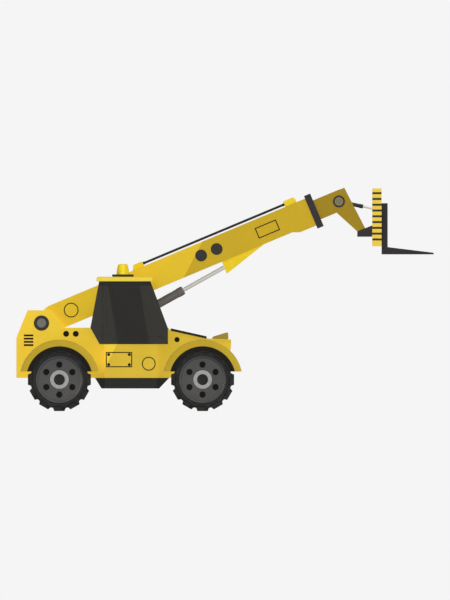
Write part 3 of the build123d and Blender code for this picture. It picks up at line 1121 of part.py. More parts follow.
# ================================================================ carriage and forks
bar_rear_x = CARRIAGE_FRONT_X - BAR_DEPTH
lug_outer = LUG_INNER + LUG_PLATE
with BuildPart() as carriage:
    # outer cheeks
    pair(rect(CARRIAGE_REAR_X, CARRIAGE_FRONT_X, CARRIAGE_BOTTOM_Z, CARRIAGE_TOP_Z),
         CARRIAGE_HALF_WIDTH - CHEEK, CARRIAGE_HALF_WIDTH, TILT)
    # inner uprights, with lugs for the tilt pin
    pair(rect(CARRIAGE_REAR_X, bar_rear_x, CARRIAGE_BOTTOM_Z, CARRIAGE_TOP_Z), LUG_INNER, lug_outer, TILT)
    pair([(LUG_REAR_X, LUG_REAR_Z), (CARRIAGE_REAR_X, LUG_TOP_Z), (CARRIAGE_REAR_X, LUG_BOTTOM_Z),
          (LUG_REAR_X, LUG_BOTTOM_Z)], LUG_INNER, lug_outer, TILT)
    disc(0, 0, TILT_PIN_R - SEAT_GAP, -lug_outer - TILT_PIN_END, lug_outer + TILT_PIN_END, TILT,
         flats=TRUE_CIRCLE)
    # beams behind the rungs, open in the middle bay
    for z in BEAM_BOTTOMS_Z:
        pair(rect(bar_rear_x - BEAM_DEPTH, bar_rear_x, z, z + BEAM_HEIGHT),
             lug_outer, CARRIAGE_HALF_WIDTH - CHEEK, TILT)
    # cross beam and ears for the rod eye of the crowd cylinder
    slab(rect(bar_rear_x - EAR_BEAM_DEPTH, bar_rear_x, EAR_BEAM_Z, EAR_BEAM_Z + EAR_BEAM_HEIGHT),
         -LUG_INNER, LUG_INNER, TILT)
    ear_near = CROWD_EYE_HALF + SIDE_GAP
    pair([(CROWD_EYE_X - CROWD_EAR_REACH, CROWD_EYE_Z - CROWD_EAR_HALF_HEIGHT),
          (bar_rear_x - EAR_BEAM_DEPTH, EAR_BEAM_Z), (bar_rear_x, EAR_BEAM_Z),
          (bar_rear_x, CROWD_EYE_Z + CROWD_EAR_HALF_HEIGHT),
          (CROWD_EYE_X - CROWD_EAR_REACH, CROWD_EYE_Z + CROWD_EAR_HALF_HEIGHT)],
         ear_near, ear_near + CROWD_EAR, TILT)
save(carriage.part, "carriage", "goldenrod")

with BuildPart() as carriage_bars:
    for row in range(BAR_COUNT):
        top = BAR_TOP_Z + BAR_HEIGHT / 2 - row * BAR_PITCH
        slab(rect(bar_rear_x, CARRIAGE_FRONT_X, top - BAR_HEIGHT, top),
             CHEEK - CARRIAGE_HALF_WIDTH, CARRIAGE_HALF_WIDTH - CHEEK, TILT)
save(carriage_bars.part, "carriage_bars", "gray10")

FORK_OUTLINE = [
    (CARRIAGE_FRONT_X, FORK_BOTTOM_Z), (CARRIAGE_FRONT_X, FORK_TOP_Z),
    (CARRIAGE_FRONT_X + FORK_SHANK, FORK_TOP_Z), (CARRIAGE_FRONT_X + FORK_SHANK, FORK_HEEL_Z),
    (FORK_TIP_X, FORK_TIP_Z), (FORK_TIP_X, FORK_BOTTOM_Z),
]
with BuildPart() as forks:
    pair(FORK_OUTLINE, FORK_CENTRE - FORK_WIDTH / 2, FORK_CENTRE + FORK_WIDTH / 2, TILT)
save(forks.part, "forks", "gray20")
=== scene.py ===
import json
import math

import bmesh
import bpy
from mathutils import Matrix, Vector

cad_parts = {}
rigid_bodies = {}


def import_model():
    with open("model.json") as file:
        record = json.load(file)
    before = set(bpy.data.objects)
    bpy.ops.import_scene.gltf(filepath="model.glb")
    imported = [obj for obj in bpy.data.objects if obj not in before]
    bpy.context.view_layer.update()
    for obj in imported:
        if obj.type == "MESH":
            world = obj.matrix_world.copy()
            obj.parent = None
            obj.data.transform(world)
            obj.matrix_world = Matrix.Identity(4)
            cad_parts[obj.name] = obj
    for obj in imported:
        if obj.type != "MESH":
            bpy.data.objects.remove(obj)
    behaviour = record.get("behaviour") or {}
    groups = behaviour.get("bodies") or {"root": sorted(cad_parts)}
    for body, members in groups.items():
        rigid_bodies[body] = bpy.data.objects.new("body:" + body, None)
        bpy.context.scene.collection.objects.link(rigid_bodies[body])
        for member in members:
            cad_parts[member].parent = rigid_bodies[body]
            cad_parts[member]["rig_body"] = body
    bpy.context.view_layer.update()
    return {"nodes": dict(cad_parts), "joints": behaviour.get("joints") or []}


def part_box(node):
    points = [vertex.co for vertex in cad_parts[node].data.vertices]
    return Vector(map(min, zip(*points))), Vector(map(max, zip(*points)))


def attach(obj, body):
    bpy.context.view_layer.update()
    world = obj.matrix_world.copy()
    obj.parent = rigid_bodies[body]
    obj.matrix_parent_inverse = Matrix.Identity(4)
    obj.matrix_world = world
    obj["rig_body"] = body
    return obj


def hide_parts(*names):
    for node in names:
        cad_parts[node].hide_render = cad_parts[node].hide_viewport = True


# Telehandler: the looks of each piece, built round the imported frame. Metres; +X forward, +Z up, right is -Y.
# A "lateral" is a distance from the middle plane, to the right unless a place looks to the left.

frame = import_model()
NODES = frame["nodes"]
JOINTS = {joint["name"]: joint for joint in frame["joints"]}

# ---- colours in sRGB
YELLOW_REAR = "ecc833"
# painted shade: the darker front part of the body yellow
YELLOW_FRONT_PAINTED_SHADE = "cfaf2c"
# painted light: the frame plates' front yellow, lighter than the body's front yellow to offset the shade in
# their recess
YELLOW_PLATE_PAINTED_LIGHT = "e0c133"
YELLOW_TRIM = "e2c51c"
BOOM_REAR = "dcb922"
# painted shade: the darker front part of the boom yellow
BOOM_FRONT_PAINTED_SHADE = "bf9f18"
BEACON_YELLOW = "e9d430"
# painted shade: the darker front half of the beacon lens
BEACON_PAINTED_SHADE = "d8be26"
CHEEK_YELLOW = "e2c23f"
CHEEK_BLACK = "2b2a20"
BLACK_PAINT = "242422"
COLLAR_BLACK = "2b2528"
RUBBER_BLACK = "1e1e1e"
RUBBER_DUST = "3a3836"
GLASS_DARK = "2a2924"
# painted reflection: the deeper dark of the leaning band on the cab glass and frame, also given to the header
# under the roof
GLASS_REFLECTION_AND_HEADER = "1b1a17"
SCUFF = "c9b98c"
DUST = "a09578"
THREAD = "3c3c40"
FLOOR_GREY = "ebebeb"
PAPER = "f5f5f5"

# ---- places read from the frame
RIGHT = Vector((0, -1, 0))
AHEAD = Vector((1, 0, 0))
UP = Vector((0, 0, 1))


class Place:
    """Side-view coordinates, u along, w up and a lateral out to one side, turned into points of the frame."""

    def __init__(self, origin, along, out=RIGHT):
        self.origin = Vector(origin)
        self.along = Vector(along).normalized()
        self.up = self.along.cross(RIGHT) * -1
        self.out = out

    def __call__(self, u, w, lateral=0):
        return self.origin + self.along * u + self.up * w + self.out * lateral

    def local(self, point):
        """The (u, w) of a point of the frame."""
        reach = Vector(point) - self.origin
        return reach.dot(self.along), reach.dot(self.up)


def both(place):
    """The place with its laterals to the right, and the same with its laterals to the left."""
    return place, Place(place.origin, place.along, -RIGHT)


def hub_of(node, out=RIGHT):
    """A place at the middle of a node in the side view."""
    low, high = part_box(node)
    return Place(((low.x + high.x) / 2, 0, (low.z + high.z) / 2), AHEAD, out)


def lateral_span(node):
    """The inner and the outer lateral of a node that stands on one side."""
    return sorted(abs(corner.y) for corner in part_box(node))


def joint_place(turning, sliding):
    """A place at a turning joint, along a sliding one."""
    return Place(JOINTS[turning]["pos_m"], JOINTS[sliding]["axis"])


SIDE = Place((0, 0, 0), AHEAD)
BOOM = joint_place("boom_lift", "boom_extend")
LIFT = joint_place("lift_cylinder_swing", "lift_cylinder_stroke")
CROWD = joint_place("crowd_cylinder_swing", "crowd_cylinder_stroke")


# ---- materials
def linear(hex_colour):
    """An sRGB colour such as "eac435" as linear values with alpha."""
    shares = [int(hex_colour[start:start + 2], 16) / 255 for start in (0, 2, 4)]
    return (*(share / 12.92 if share <= 0.04045 else ((share + 0.055) / 1.055) ** 2.4 for share in shares), 1)


class Nodes:
    """A node tree, built by small steps."""

    def __init__(self, tree):
        self.tree = tree

    def link(self, source, target):
        """Gives an input a number, a vector, a colour code or another node's output."""
        if isinstance(source, str):
            source = linear(source)
        if isinstance(source, (int, float, tuple)):
            target.default_value = source
        else:
            self.tree.links.new(source, target)

    def node(self, kind, inputs=(), output=0, **settings):
        """An output of a new node, whose inputs are filled by name or in turn."""
        made = self.tree.nodes.new(kind)
        for key, value in settings.items():
            setattr(made, key, value)
        for key, value in inputs.items() if isinstance(inputs, dict) else enumerate(inputs):
            self.link(value, made.inputs[key])
        return made.outputs[output]

    def math(self, operation, *values):
        return self.node("ShaderNodeMath", values, operation=operation)


class Shader(Nodes):
    """The nodes of a material."""

    def __init__(self, name):
        self.material = bpy.data.materials.new(name)
        self.material.use_nodes = True
        super().__init__(self.material.node_tree)
        self.bsdf = self.tree.nodes["Principled BSDF"]
        self.place = self.node("ShaderNodeTexCoord", output="Object")

    def span(self, value, low, high, out_low=0.0, out_high=1.0):
        """The value mapped from one range to another, held at its ends."""
        return self.node("ShaderNodeMapRange", (value, low, high, out_low, out_high))

    def noise(self, scale, detail=4, roughness=0.55, stretch=(1, 1, 1)):
        place = self.node("ShaderNodeMapping", {"Vector": self.place, "Scale": stretch})
        inputs = {"Vector": place, "Scale": scale, "Detail": detail, "Roughness": roughness}
        return self.node("ShaderNodeTexNoise", inputs, "Fac")

    def drift(self, scale, detail, low, high):
        """A value that wanders over the piece."""
        return self.span(self.noise(scale, detail), 0.3, 0.7, low, high)

    def bands(self, direction, scale, distortion=0.0):
        inputs = {"Vector": self.place, "Scale": scale, "Distortion": distortion}
        return self.node("ShaderNodeTexWave", inputs, "Fac", wave_type="BANDS", bands_direction=direction)

    def mix(self, share, first, second):
        return self.node("ShaderNodeMix", {0: share, 6: first, 7: second}, 2, data_type="RGBA")

    def shaded(self, colour, value):
        """A colour made darker or lighter by a value."""
        return self.node("ShaderNodeHueSaturation", {"Value": value, "Color": colour})

    def along(self, direction, origin=(0, 0, 0)):
        """The distance of a surface point along a direction, from an origin."""
        kind = "ShaderNodeVectorMath"
        shift = self.node(kind, (self.place, tuple(origin)), operation="SUBTRACT")
        return self.node(kind, (shift, tuple(direction)), "Value", operation="DOT_PRODUCT")

    def bump(self, height, strength, distance):
        inputs = {"Strength": strength, "Distance": distance, "Height": height}
        self.set(normal=self.node("ShaderNodeBump", inputs))

    def colour_of(self, colour):
        """The colour that a code or a rule stands for."""
        return colour(self) if callable(colour) else colour

    def set(self, **values):
        """Gives the inputs of the surface their values."""
        for key, value in values.items():
            self.link(value, self.bsdf.inputs[key.replace("_", " ").title().replace("Ior", "IOR")])
        return self.material


def paint(name, colour, roughness=0.5, dust=0.0, metallic=0.0, level=0.15):
    """Sprayed paint of one colour or by a rule: slight drift, orange peel, scratches and dust lower down."""
    shader = Shader(name)
    shade = shader.shaded(shader.colour_of(colour), shader.drift(1.7, 3, 0.965, 1.03))
    scuffs = shader.span(shader.noise(60, 6, 0.7, stretch=(1, 1, 4)), 0.66, 0.72)
    low = shader.span(shader.along(UP), 0.15, 0.95, 1.0, 0.0)
    patches = shader.span(shader.noise(5, 6), 0.35, 0.7)
    dusty = shader.math("MULTIPLY", shader.math("MULTIPLY", low, patches), dust)
    aged = shader.mix(shader.math("MULTIPLY", scuffs, 0.12), shade, SCUFF)
    rough = shader.drift(9, 5, roughness - 0.05, roughness + 0.08)
    rough = shader.math("ADD", rough, shader.math("MULTIPLY", dusty, 0.4))
    shader.bump(shader.noise(420, 2), 0.05, 0.0006)
    return shader.set(base_color=shader.mix(dusty, aged, DUST), roughness=rough, metallic=metallic,
                      specular_ior_level=level)


def split_rule(rear, front, direction, origin, soft=0.004):
    """Two colours that meet in a crisp line across the side view."""
    def rule(shader):
        return shader.mix(shader.span(shader.along(direction, origin), -soft, soft), rear, front)
    return rule


def rubber(name):
    """Black rubber with a fine grain, grey dust in cloudy patches and a rubbed sheen."""
    shader = Shader(name)
    cloud = shader.span(shader.noise(6, 6, 0.65), 0.45, 0.75, 0, 0.45)
    grain = shader.noise(260, 3)
    shader.bump(grain, 0.25, 0.0015)
    return shader.set(base_color=shader.mix(cloud, RUBBER_BLACK, RUBBER_DUST),
                      roughness=shader.span(grain, 0.3, 0.7, 0.7, 0.88), specular_ior_level=0.2)


def steel(name, colour, roughness=0.3, metallic=0.9, level=0.4):
    """Bare or plated metal with a faint grain."""
    shader = Shader(name)
    grain = shader.noise(90, 4, 0.6)
    shader.bump(grain, 0.06, 0.0004)
    return shader.set(base_color=shader.shaded(colour, shader.span(grain, 0.3, 0.7, 0.93, 1.05)),
                      roughness=shader.span(grain, 0.3, 0.7, roughness - 0.06, roughness + 0.1),
                      metallic=metallic, specular_ior_level=level)


def plastic(name, colour, roughness=0.6, level=0.12):
    """Moulded plastic with a fine leather-like grain."""
    shader = Shader(name)
    cells = shader.node("ShaderNodeTexVoronoi", {"Vector": shader.place, "Scale": 260}, "Distance")
    shader.bump(cells, 0.2, 0.0006)
    rough = shader.drift(24, 4, roughness - 0.06, roughness + 0.08)
    return shader.set(base_color=shader.shaded(colour, shader.drift(4, 4, 0.95, 1.05)), roughness=rough,
                      specular_ior_level=level)


def fabric(name, colour):
    """Woven cloth: crossing threads in bump and in colour."""
    shader = Shader(name)
    threads = shader.math("ADD", shader.bands("DIAGONAL", 120, 1.5), shader.bands("Z", 150))
    shader.bump(threads, 0.4, 0.001)
    return shader.set(base_color=shader.mix(shader.span(threads, 0.4, 1.6, 0, 0.6), colour, THREAD),
                      roughness=0.9, specular_ior_level=0.15, sheen_weight=0.3)


# Painted reflection: a darker band leaning across the side of the cab glass and frame.
REFLECTION_LEAN = Vector((1, 0, 0.161)).normalized()
REFLECTION_REAR = (-2.255, 0, 2.490)
REFLECTION_FRONT = (-1.648, 0, 2.490)
HEADER_Z = 2.405


def cab_rule(shader):
    """The cab's two darks: a leaning band over its side, which is a painted reflection, and the header under
    the roof are the deeper one.
    """
    after_rear = shader.span(shader.along(REFLECTION_LEAN, REFLECTION_REAR), -0.002, 0.002)
    before_front = shader.span(shader.along(REFLECTION_LEAN, REFLECTION_FRONT), -0.002, 0.002, 1, 0)
    header = shader.span(shader.along(UP), HEADER_Z - 0.001, HEADER_Z + 0.001)
    band = shader.math("MULTIPLY", after_rear, before_front)
    return shader.mix(shader.math("MAXIMUM", band, header), GLASS_DARK, GLASS_REFLECTION_AND_HEADER)


def tinted_glass(name):
    """Dark cab glass with a painted reflection band, a faint smear and a smooth face."""
    shader = Shader(name)
    smear = shader.span(shader.noise(3.5, 5, 0.6), 0.35, 0.7, 0.06, 0.16)
    shader.set(base_color=cab_rule(shader), roughness=smear)
    return shader.set(alpha=0.9, ior=1.45, specular_ior_level=0.35)


def lens(name, colour, glow=0.0, gloss=1.0):
    """Moulded lens plastic with fine ribs, of one colour or by a rule."""
    shader = Shader(name)
    base = shader.colour_of(colour)
    rough = shader.math("ADD", shader.drift(12, 4, 0.12, 0.22), 0.4 * (1 - gloss))
    shader.bump(shader.bands("Z", 24), 0.15, 0.001)
    if glow:
        shader.set(emission_color=base, emission_strength=glow)
    shader.set(base_color=base, roughness=rough)
    return shader.set(coat_weight=0.4 * gloss, specular_ior_level=0.2 * gloss)


# ---- shapes
def circle(count, radius=1.0, start=0.0):
    """Points spread evenly round a circle; start is how many steps the first is past the first axis."""
    turns = [math.tau * (i + start) / count for i in range(count)]
    return [(radius * math.cos(turn), radius * math.sin(turn)) for turn in turns]


def capped(near, far, radius, chamfer, draw_in=None):
    """The profile of a cylinder with a chamfer round its far end."""
    return [(near, radius), (far - chamfer, radius), (far, radius - (draw_in or chamfer))]


def offset(profile, along, radius):
    """The profile moved along its axis and out from it."""
    return [(along + step, radius + rise) for step, rise in profile]


def add(name, data):
    """A new object in the scene."""
    obj = bpy.data.objects.new(name, data)
    bpy.context.scene.collection.objects.link(obj)
    return obj


def smooth_by_angle(mesh, degrees=32):
    """Smooth shading everywhere but at edges sharper than the limit."""
    work = bmesh.new()
    work.from_mesh(mesh)
    for face in work.faces:
        face.smooth = True
    for edge in work.edges:
        edge.smooth = len(edge.link_faces) == 2 and edge.calc_face_angle() < math.radians(degrees)
    work.to_mesh(mesh)
    work.free()


def settle(obj, body, stands_for=(), bevel=0.0, segments=2):
    """The last steps of every piece: bevel, its body and the CAD nodes that it stands for."""
    if bevel:
        modifier = obj.modifiers.new("edge rounding", "BEVEL")
        modifier.width = bevel
        modifier.segments = segments
        modifier.limit_method = "ANGLE"
        modifier.angle_limit = math.radians(38)
        modifier.harden_normals = True
        modifier.use_clamp_overlap = True
    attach(obj, body)
    if stands_for:
        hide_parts(*stands_for)
    return obj


def body_of(node):
    return NODES[node]["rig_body"]


class Shape:
    """One visible piece, gathered from simple solids, each with its own material."""

    def __init__(self, name, material):
        self.name = name
        self.work = bmesh.new()
        self.materials = []
        self.use(material)

    def use(self, material):
        """What is added next has this material."""
        if material not in self.materials:
            self.materials.append(material)
        self.index = self.materials.index(material)

    def face(self, corners):
        self.work.faces.new(corners).material_index = self.index

    def faces(self, points, loops):
        corners = [self.work.verts.new(point) for point in points]
        for loop in loops:
            self.face([corners[i] for i in loop])

    def prism(self, outline, near, far, place=SIDE):
        """A plate with a side outline of (u, w) points between two laterals."""
        count = len(outline)
        points = [place(u, w, lateral) for lateral in (near, far) for u, w in outline]
        loops = [tuple(range(count)), tuple(range(2 * count - 1, count - 1, -1))]
        loops += [(i, i + count, (i + 1) % count + count, (i + 1) % count) for i in range(count)]
        self.faces(points, loops)

    def slab(self, u0, u1, w0, w1, near, far, place=SIDE):
        """A block whose side outline is a rectangle."""
        self.prism([(u0, w0), (u1, w0), (u1, w1), (u0, w1)], near, far, place)

    def box(self, low, high):
        self.slab(low[0], high[0], low[2], high[2], -low[1], -high[1])

    def ring(self, foot, across, third, radius, segments):
        return [self.work.verts.new(foot + across * a + third * b) for a, b in circle(segments, radius)]

    def band(self, first, second, segments):
        """The faces between two rings, either of which may be a single point."""
        for i in range(segments):
            j = (i + 1) % segments
            loop = [ring[k % len(ring)] for ring, k in ((first, i), (first, j), (second, j), (second, i))]
            loop = list(dict.fromkeys(loop))
            if len(loop) > 2:
                self.face(loop)

    def turned(self, profile, origin, axis, segments, kind="solid"):
        """A round body. The profile is (distance along the axis, radius): a solid gets flat ends, a ring's
        profile runs back to its start, and a shell stays open."""
        axis = Vector(axis).normalized()
        across = axis.orthogonal().normalized()
        if kind == "solid":
            profile = [(profile[0][0], 0)] + profile + [(profile[-1][0], 0)]
        rings = []
        for along, radius in profile:
            foot = Vector(origin) + axis * along
            corners = segments if radius > 1e-6 else 1
            rings.append(self.ring(foot, across, axis.cross(across), radius, corners))
        for first, second in zip(rings, rings[1:]):
            self.band(first, second, segments)
        if kind == "ring":
            self.band(rings[-1], rings[0], segments)

    def lathed(self, profile, place, segments, u=0, w=0, kind="solid"):
        """A round body across the machine: the profile is (lateral, radius)."""
        self.turned(profile, place(u, w), place.out, segments, kind)

    def rod(self, start, end, radius, segments=32, chamfer=0.002):
        """A round bar between two points."""
        length = (end - start).length
        thin = radius - chamfer
        profile = [(0, thin), (chamfer, radius), (length - chamfer, radius), (length, thin)]
        self.turned(profile, start, end - start, segments)

    def bolt(self, point, axis, radius, height):
        """A hexagon head on a washer."""
        washer_r, washer = radius * 1.45, height * 0.25
        self.turned([(0, washer_r), (washer, washer_r)], point, axis, 18)
        self.turned(capped(height * 0.2, height, radius, height * 0.15, radius * 0.2), point, axis, 6)

    def bolts(self, place, u, w, lateral, spread, count, radius, height):
        """A ring of bolts on a face that looks outwards."""
        for du, dw in circle(count, spread, 0.5):
            self.bolt(place(u + du, w + dw, lateral), place.out, radius, height)

    def tube(self, points, radius, segments):
        """A round tube along a path."""
        points = [Vector(point) for point in points]
        rings = []
        for i, point in enumerate(points):
            ahead = (points[min(i + 1, len(points) - 1)] - points[max(i - 1, 0)]).normalized()
            across = ahead.cross(Vector((0, 1, 0.01))).normalized()
            rings.append(self.ring(point, across, ahead.cross(across), radius, segments))
        for first, second in zip(rings, rings[1:]):
            self.band(first, second, segments)
        self.face(rings[0])
        self.face(rings[-1])

    def cut_below(self, z):
        """Keeps only what stands above a level."""
        geometry = self.work.verts[:] + self.work.edges[:] + self.work.faces[:]
        plane = {"plane_co": (0, 0, z), "plane_no": UP}
        cut = bmesh.ops.bisect_plane(self.work, geom=geometry, clear_inner=True, **plane)
        rim = [item for item in cut["geom_cut"] if isinstance(item, bmesh.types.BMEdge)]
        bmesh.ops.holes_fill(self.work, edges=rim, sides=0)

    def finish(self, body, bevel=0.0, smooth=32, stands_for=()):
        bmesh.ops.remove_doubles(self.work, verts=self.work.verts, dist=1e-6)
        bmesh.ops.recalc_face_normals(self.work, faces=self.work.faces)
        mesh = bpy.data.meshes.new(self.name)
        self.work.to_mesh(mesh)
        self.work.free()
        for material in self.materials:
            mesh.materials.append(material)
        smooth_by_angle(mesh, smooth)
        return settle(add(self.name, mesh), body, stands_for, bevel)

    def replace(self, node, material_slot, bevel=0.0, smooth=32):
        """Finishes a piece that stands for a CAD node and rides as that does."""
        self.finish(body_of(node), bevel, smooth, (node,))


def dress(node, material, bevel, rules=(), segments=2):
    """The CAD solid itself with rounded edges. A rule is (material, test of a face's centre)."""
    mesh = NODES[node].data.copy()
    mesh.name = f"{node}_skin"
    mesh.materials.clear()
    mesh.materials.append(material)
    work = bmesh.new()
    work.from_mesh(mesh)
    bmesh.ops.remove_doubles(work, verts=work.verts, dist=1e-5)
    bmesh.ops.dissolve_limit(work, angle_limit=math.radians(0.5), verts=work.verts, edges=work.edges)
    for index, (other, test) in enumerate(rules, start=1):
        mesh.materials.append(other)
        for face in work.faces:
            if test(face.calc_center_median()):
                face.material_index = index
    work.to_mesh(mesh)
    work.free()
    smooth_by_angle(mesh)
    settle(add(mesh.name, mesh), body_of(node), (node,), bevel, segments)


def in_box(low, high):
    """A face test: its centre lies in a box, given on the right side and tried on both."""
    def test(point):
        spot = (point.x, abs(point.y), point.z)
        return all(least <= value <= most for least, value, most in zip(low, spot, high))
    return test


def near_spot(place, u, w, radius, lateral_low):
    """A face test: within a radius of a spot on a side view, and further out than a lateral."""
    def test(point):
        at_u, at_w = place.local(point)
        return math.hypot(at_u - u, at_w - w) <= radius and abs(point.y) > lateral_low
    return test


# ---- the paints and stuffs of the machine
# Painted shade: the body yellow turns darker ahead of a slanted line across the side; the rear stays lighter.
BODY_SHADE_LEAN = Vector((1, 0, -0.5)).normalized()
BODY_SHADE_SPLIT = (-2.401, 0, 0.635)
# Painted shade: the boom yellow likewise turns darker ahead of a slanted line across the boom.
BOOM_SHADE_LEAN = (BOOM.along - BOOM.up * 1.203).normalized()
BOOM_SHADE_SPLIT_U = 3.1536
body_painted_shade_rule = split_rule(YELLOW_REAR, YELLOW_FRONT_PAINTED_SHADE, BODY_SHADE_LEAN, BODY_SHADE_SPLIT)
# Painted shade and painted light on the frame plates: the same slanted split as the body, with the front
# lifted to offset the shade that falls in their recess.
plate_shade_and_light_rule = split_rule(YELLOW_REAR, YELLOW_PLATE_PAINTED_LIGHT, BODY_SHADE_LEAN, BODY_SHADE_SPLIT)
boom_painted_shade_rule = split_rule(BOOM_REAR, BOOM_FRONT_PAINTED_SHADE, BOOM_SHADE_LEAN, BOOM(BOOM_SHADE_SPLIT_U, 0))
body_paint_with_painted_shade = paint("body yellow with painted shade", body_painted_shade_rule, 0.4, dust=0.25)
plate_paint_with_painted_shade_and_light = paint("plate yellow with painted shade and light", plate_shade_and_light_rule, 0.4, dust=0.25)
boom_paint_with_painted_shade = paint("boom yellow with painted shade", boom_painted_shade_rule, 0.4)
trim_paint = paint("trim yellow", YELLOW_TRIM, 0.4)
roof_paint = paint("roof yellow", "e3c940", 0.45)
# painted shade: the boom stage's darker olive carries the boom's darkening on towards its front
stage_paint_painted_shade = paint("boom stage olive painted shade", "977c10", 0.42)
guard_paint = paint("mudguard olive", "b2961e", dust=0.35)
lamp_paint = paint("lamp pod olive", "9c842c", 0.45, dust=0.25)
black_paint = paint("satin black", BLACK_PAINT, dust=0.3)
collar_paint = paint("collar black", COLLAR_BLACK, 0.45)
cover_black = paint("cover black", "2c2a27")
fork_paint = paint("fork black", "242122")
rim_paint = paint("rim grey", "464646", dust=0.06)
ring_paint = paint("hub ring grey", "9a9a9a", 0.42, dust=0.05)
hub_paint = paint("hub black", "141414", dust=0.05)
barrel_paint = paint("cylinder grey", "605f5d", 0.42)
pin_grey = paint("pin cap grey", "6d6c64")
pin_black = paint("pin flange black", "302c2b")
axle_steel = paint("axle black", "2a2928", dust=0.3)
cab_paint_with_painted_reflection = paint("cab black with painted reflection", cab_rule)
engine_iron = paint("engine iron", "6a6d70", dust=0.2, metallic=0.3)
bolt_steel = steel("bolt steel", "8c8a86", 0.38, 0.85)
rod_chrome = steel("rod chrome", "c4c4c3", metallic=0.1, level=0.1)
engine_alloy = steel("engine alloy", "9a9c9d", 0.42, 0.8)
reflector = steel("lamp reflector", "d9d9d4", 0.18, 1.0)
deep_black = plastic("deep black", "1c1a16", 0.8, 0.08)
belly_plastic = plastic("belly plastic", BLACK_PAINT, 0.65)
cab_plastic = plastic("cab trim plastic", "262522")
grey_plastic = plastic("console grey", "4a4a4c", 0.55, 0.3)
tyre_rubber = rubber("tyre rubber")
seat_cloth = fabric("seat cloth", "26262a")
cab_glass = tinted_glass("tinted glass with painted reflection")
lamp_clear = lens("clear lamp lens", "d8d8d0")
lamp_red = lens("red lamp lens", "9c1f1a", glow=0.02)


# ---- wheels
TYRE_R = 0.605
CARCASS_R = 0.560
LUG_ROOT_R = 0.526
LUG_COUNT = 12
LUG_TIP_HALF = TYRE_R * math.tan(math.radians(5.5))
LUG_ROOT_HALF = LUG_ROOT_R * math.tan(math.radians(9.5))
LUG_SWEEP = TYRE_R * math.tan(math.radians(8))
LUG_ROW_GAP = 0.024
LUG_FOOT_R = 0.500
RIM_R = 0.446
TYRE_SIDE = (
    # distance in from the side of the tyre, radius; from the bead to the shoulder
    (0.010, RIM_R), (0.004, RIM_R + 0.010), (0.007, RIM_R + 0.020), (0.010, RIM_R + 0.034), (0.004, 0.492),
    (0.0025, 0.520), (0.006, 0.538), (0.018, 0.552), (0.045, CARCASS_R - 0.002),
)
BORE_R = 0.422
WEB_INNER = 1.096
WEB_OUTER = 1.122
WEB_EDGE = 0.003
HOLE_R = 0.059
HOLE_CIRCLE = 0.288
HOLE_COUNT = 6
RING_R = 0.178
RING_HEIGHT = 0.022
HUB_R = 0.106
HUB_HEIGHT = 0.046
NUT_COUNT = 10


def pierced_plate(name, radius, holes, near, far, hub, material):
    """A round plate with round holes, from a filled flat curve."""
    curve = bpy.data.curves.new(name, "CURVE")
    curve.dimensions = "2D"
    curve.fill_mode = "BOTH"
    curve.resolution_u = 12
    curve.extrude = (far - near) / 2 - WEB_EDGE
    curve.bevel_depth = WEB_EDGE
    curve.bevel_resolution = 1
    reach = 4 / 3 * math.tan(math.pi / 8)
    for u, w, size in [(0, 0, radius - WEB_EDGE)] + [(u, w, HOLE_R + WEB_EDGE) for u, w in holes]:
        spline = curve.splines.new("BEZIER")
        spline.bezier_points.add(3)
        spline.use_cyclic_u = True
        for point, (x, y) in zip(spline.bezier_points, circle(4, size)):
            spot, side = Vector((u + x, w + y, 0)), Vector((-y, x, 0)) * reach
            point.co, point.handle_left, point.handle_right = spot, spot - side, spot + side
    maker = add(name, curve)
    mesh = bpy.data.meshes.new_from_object(maker.evaluated_get(bpy.context.evaluated_depsgraph_get()))
    bpy.data.objects.remove(maker)
    mesh.transform(Matrix.Translation(hub(0, 0, (near + far) / 2)) @ Matrix.Rotation(math.pi / 2, 4, "X"))
    mesh.materials.clear()
    mesh.materials.append(material)
    smooth_by_angle(mesh)
    return add(name, mesh)


def make_tyre(corner, hub):
    node = f"tyre_{corner}"
    inner, outer = lateral_span(node)
    profile = [(inner + inset, radius) for inset, radius in TYRE_SIDE] + [((inner + outer) / 2, CARCASS_R)]
    profile += [(outer - inset, radius) for inset, radius in reversed(TYRE_SIDE)]
    shape = Shape(node + "_rubber", tyre_rubber)
    shape.lathed(profile, hub, 96, kind="ring")
    length = (outer - inner - LUG_ROW_GAP) / 2
    # a row of lugs from each shoulder towards the middle
    for shoulder, towards in ((inner, 1), (outer, -1)):
        stations = (
            # lateral, root radius, tip radius, shift round the tyre
            (shoulder + towards * 0.001, LUG_FOOT_R, LUG_FOOT_R + 0.012, -LUG_SWEEP / 2),
            (shoulder + towards * 0.001, 0.530, TYRE_R - 0.026, -LUG_SWEEP / 2),
            (shoulder + towards * 0.016, LUG_ROOT_R - 0.010, TYRE_R, -LUG_SWEEP / 2),
            (shoulder + towards * length, LUG_ROOT_R, TYRE_R, LUG_SWEEP / 2),
        )
        for u, w in circle(LUG_COUNT, 1, LUG_COUNT / 4):
            lug = Place(hub.origin, hub.along * u + hub.up * w, hub.out)
            points = []
            for lateral, root, tip, shift in stations:
                points += [lug(root, shift - LUG_ROOT_HALF, lateral), lug(tip, shift - LUG_TIP_HALF, lateral),
                           lug(tip, shift + LUG_TIP_HALF, lateral), lug(root, shift + LUG_ROOT_HALF, lateral)]
            loops = [(0, 1, 2, 3), (15, 14, 13, 12)]
            for base in (0, 4, 8):
                for k, m in ((0, 1), (1, 2), (2, 3), (3, 0)):
                    loops.append((base + k, base + m, base + 4 + m, base + 4 + k))
            shape.faces(points, loops)
    shape.replace(node, "tyre", bevel=0.004, smooth=40)


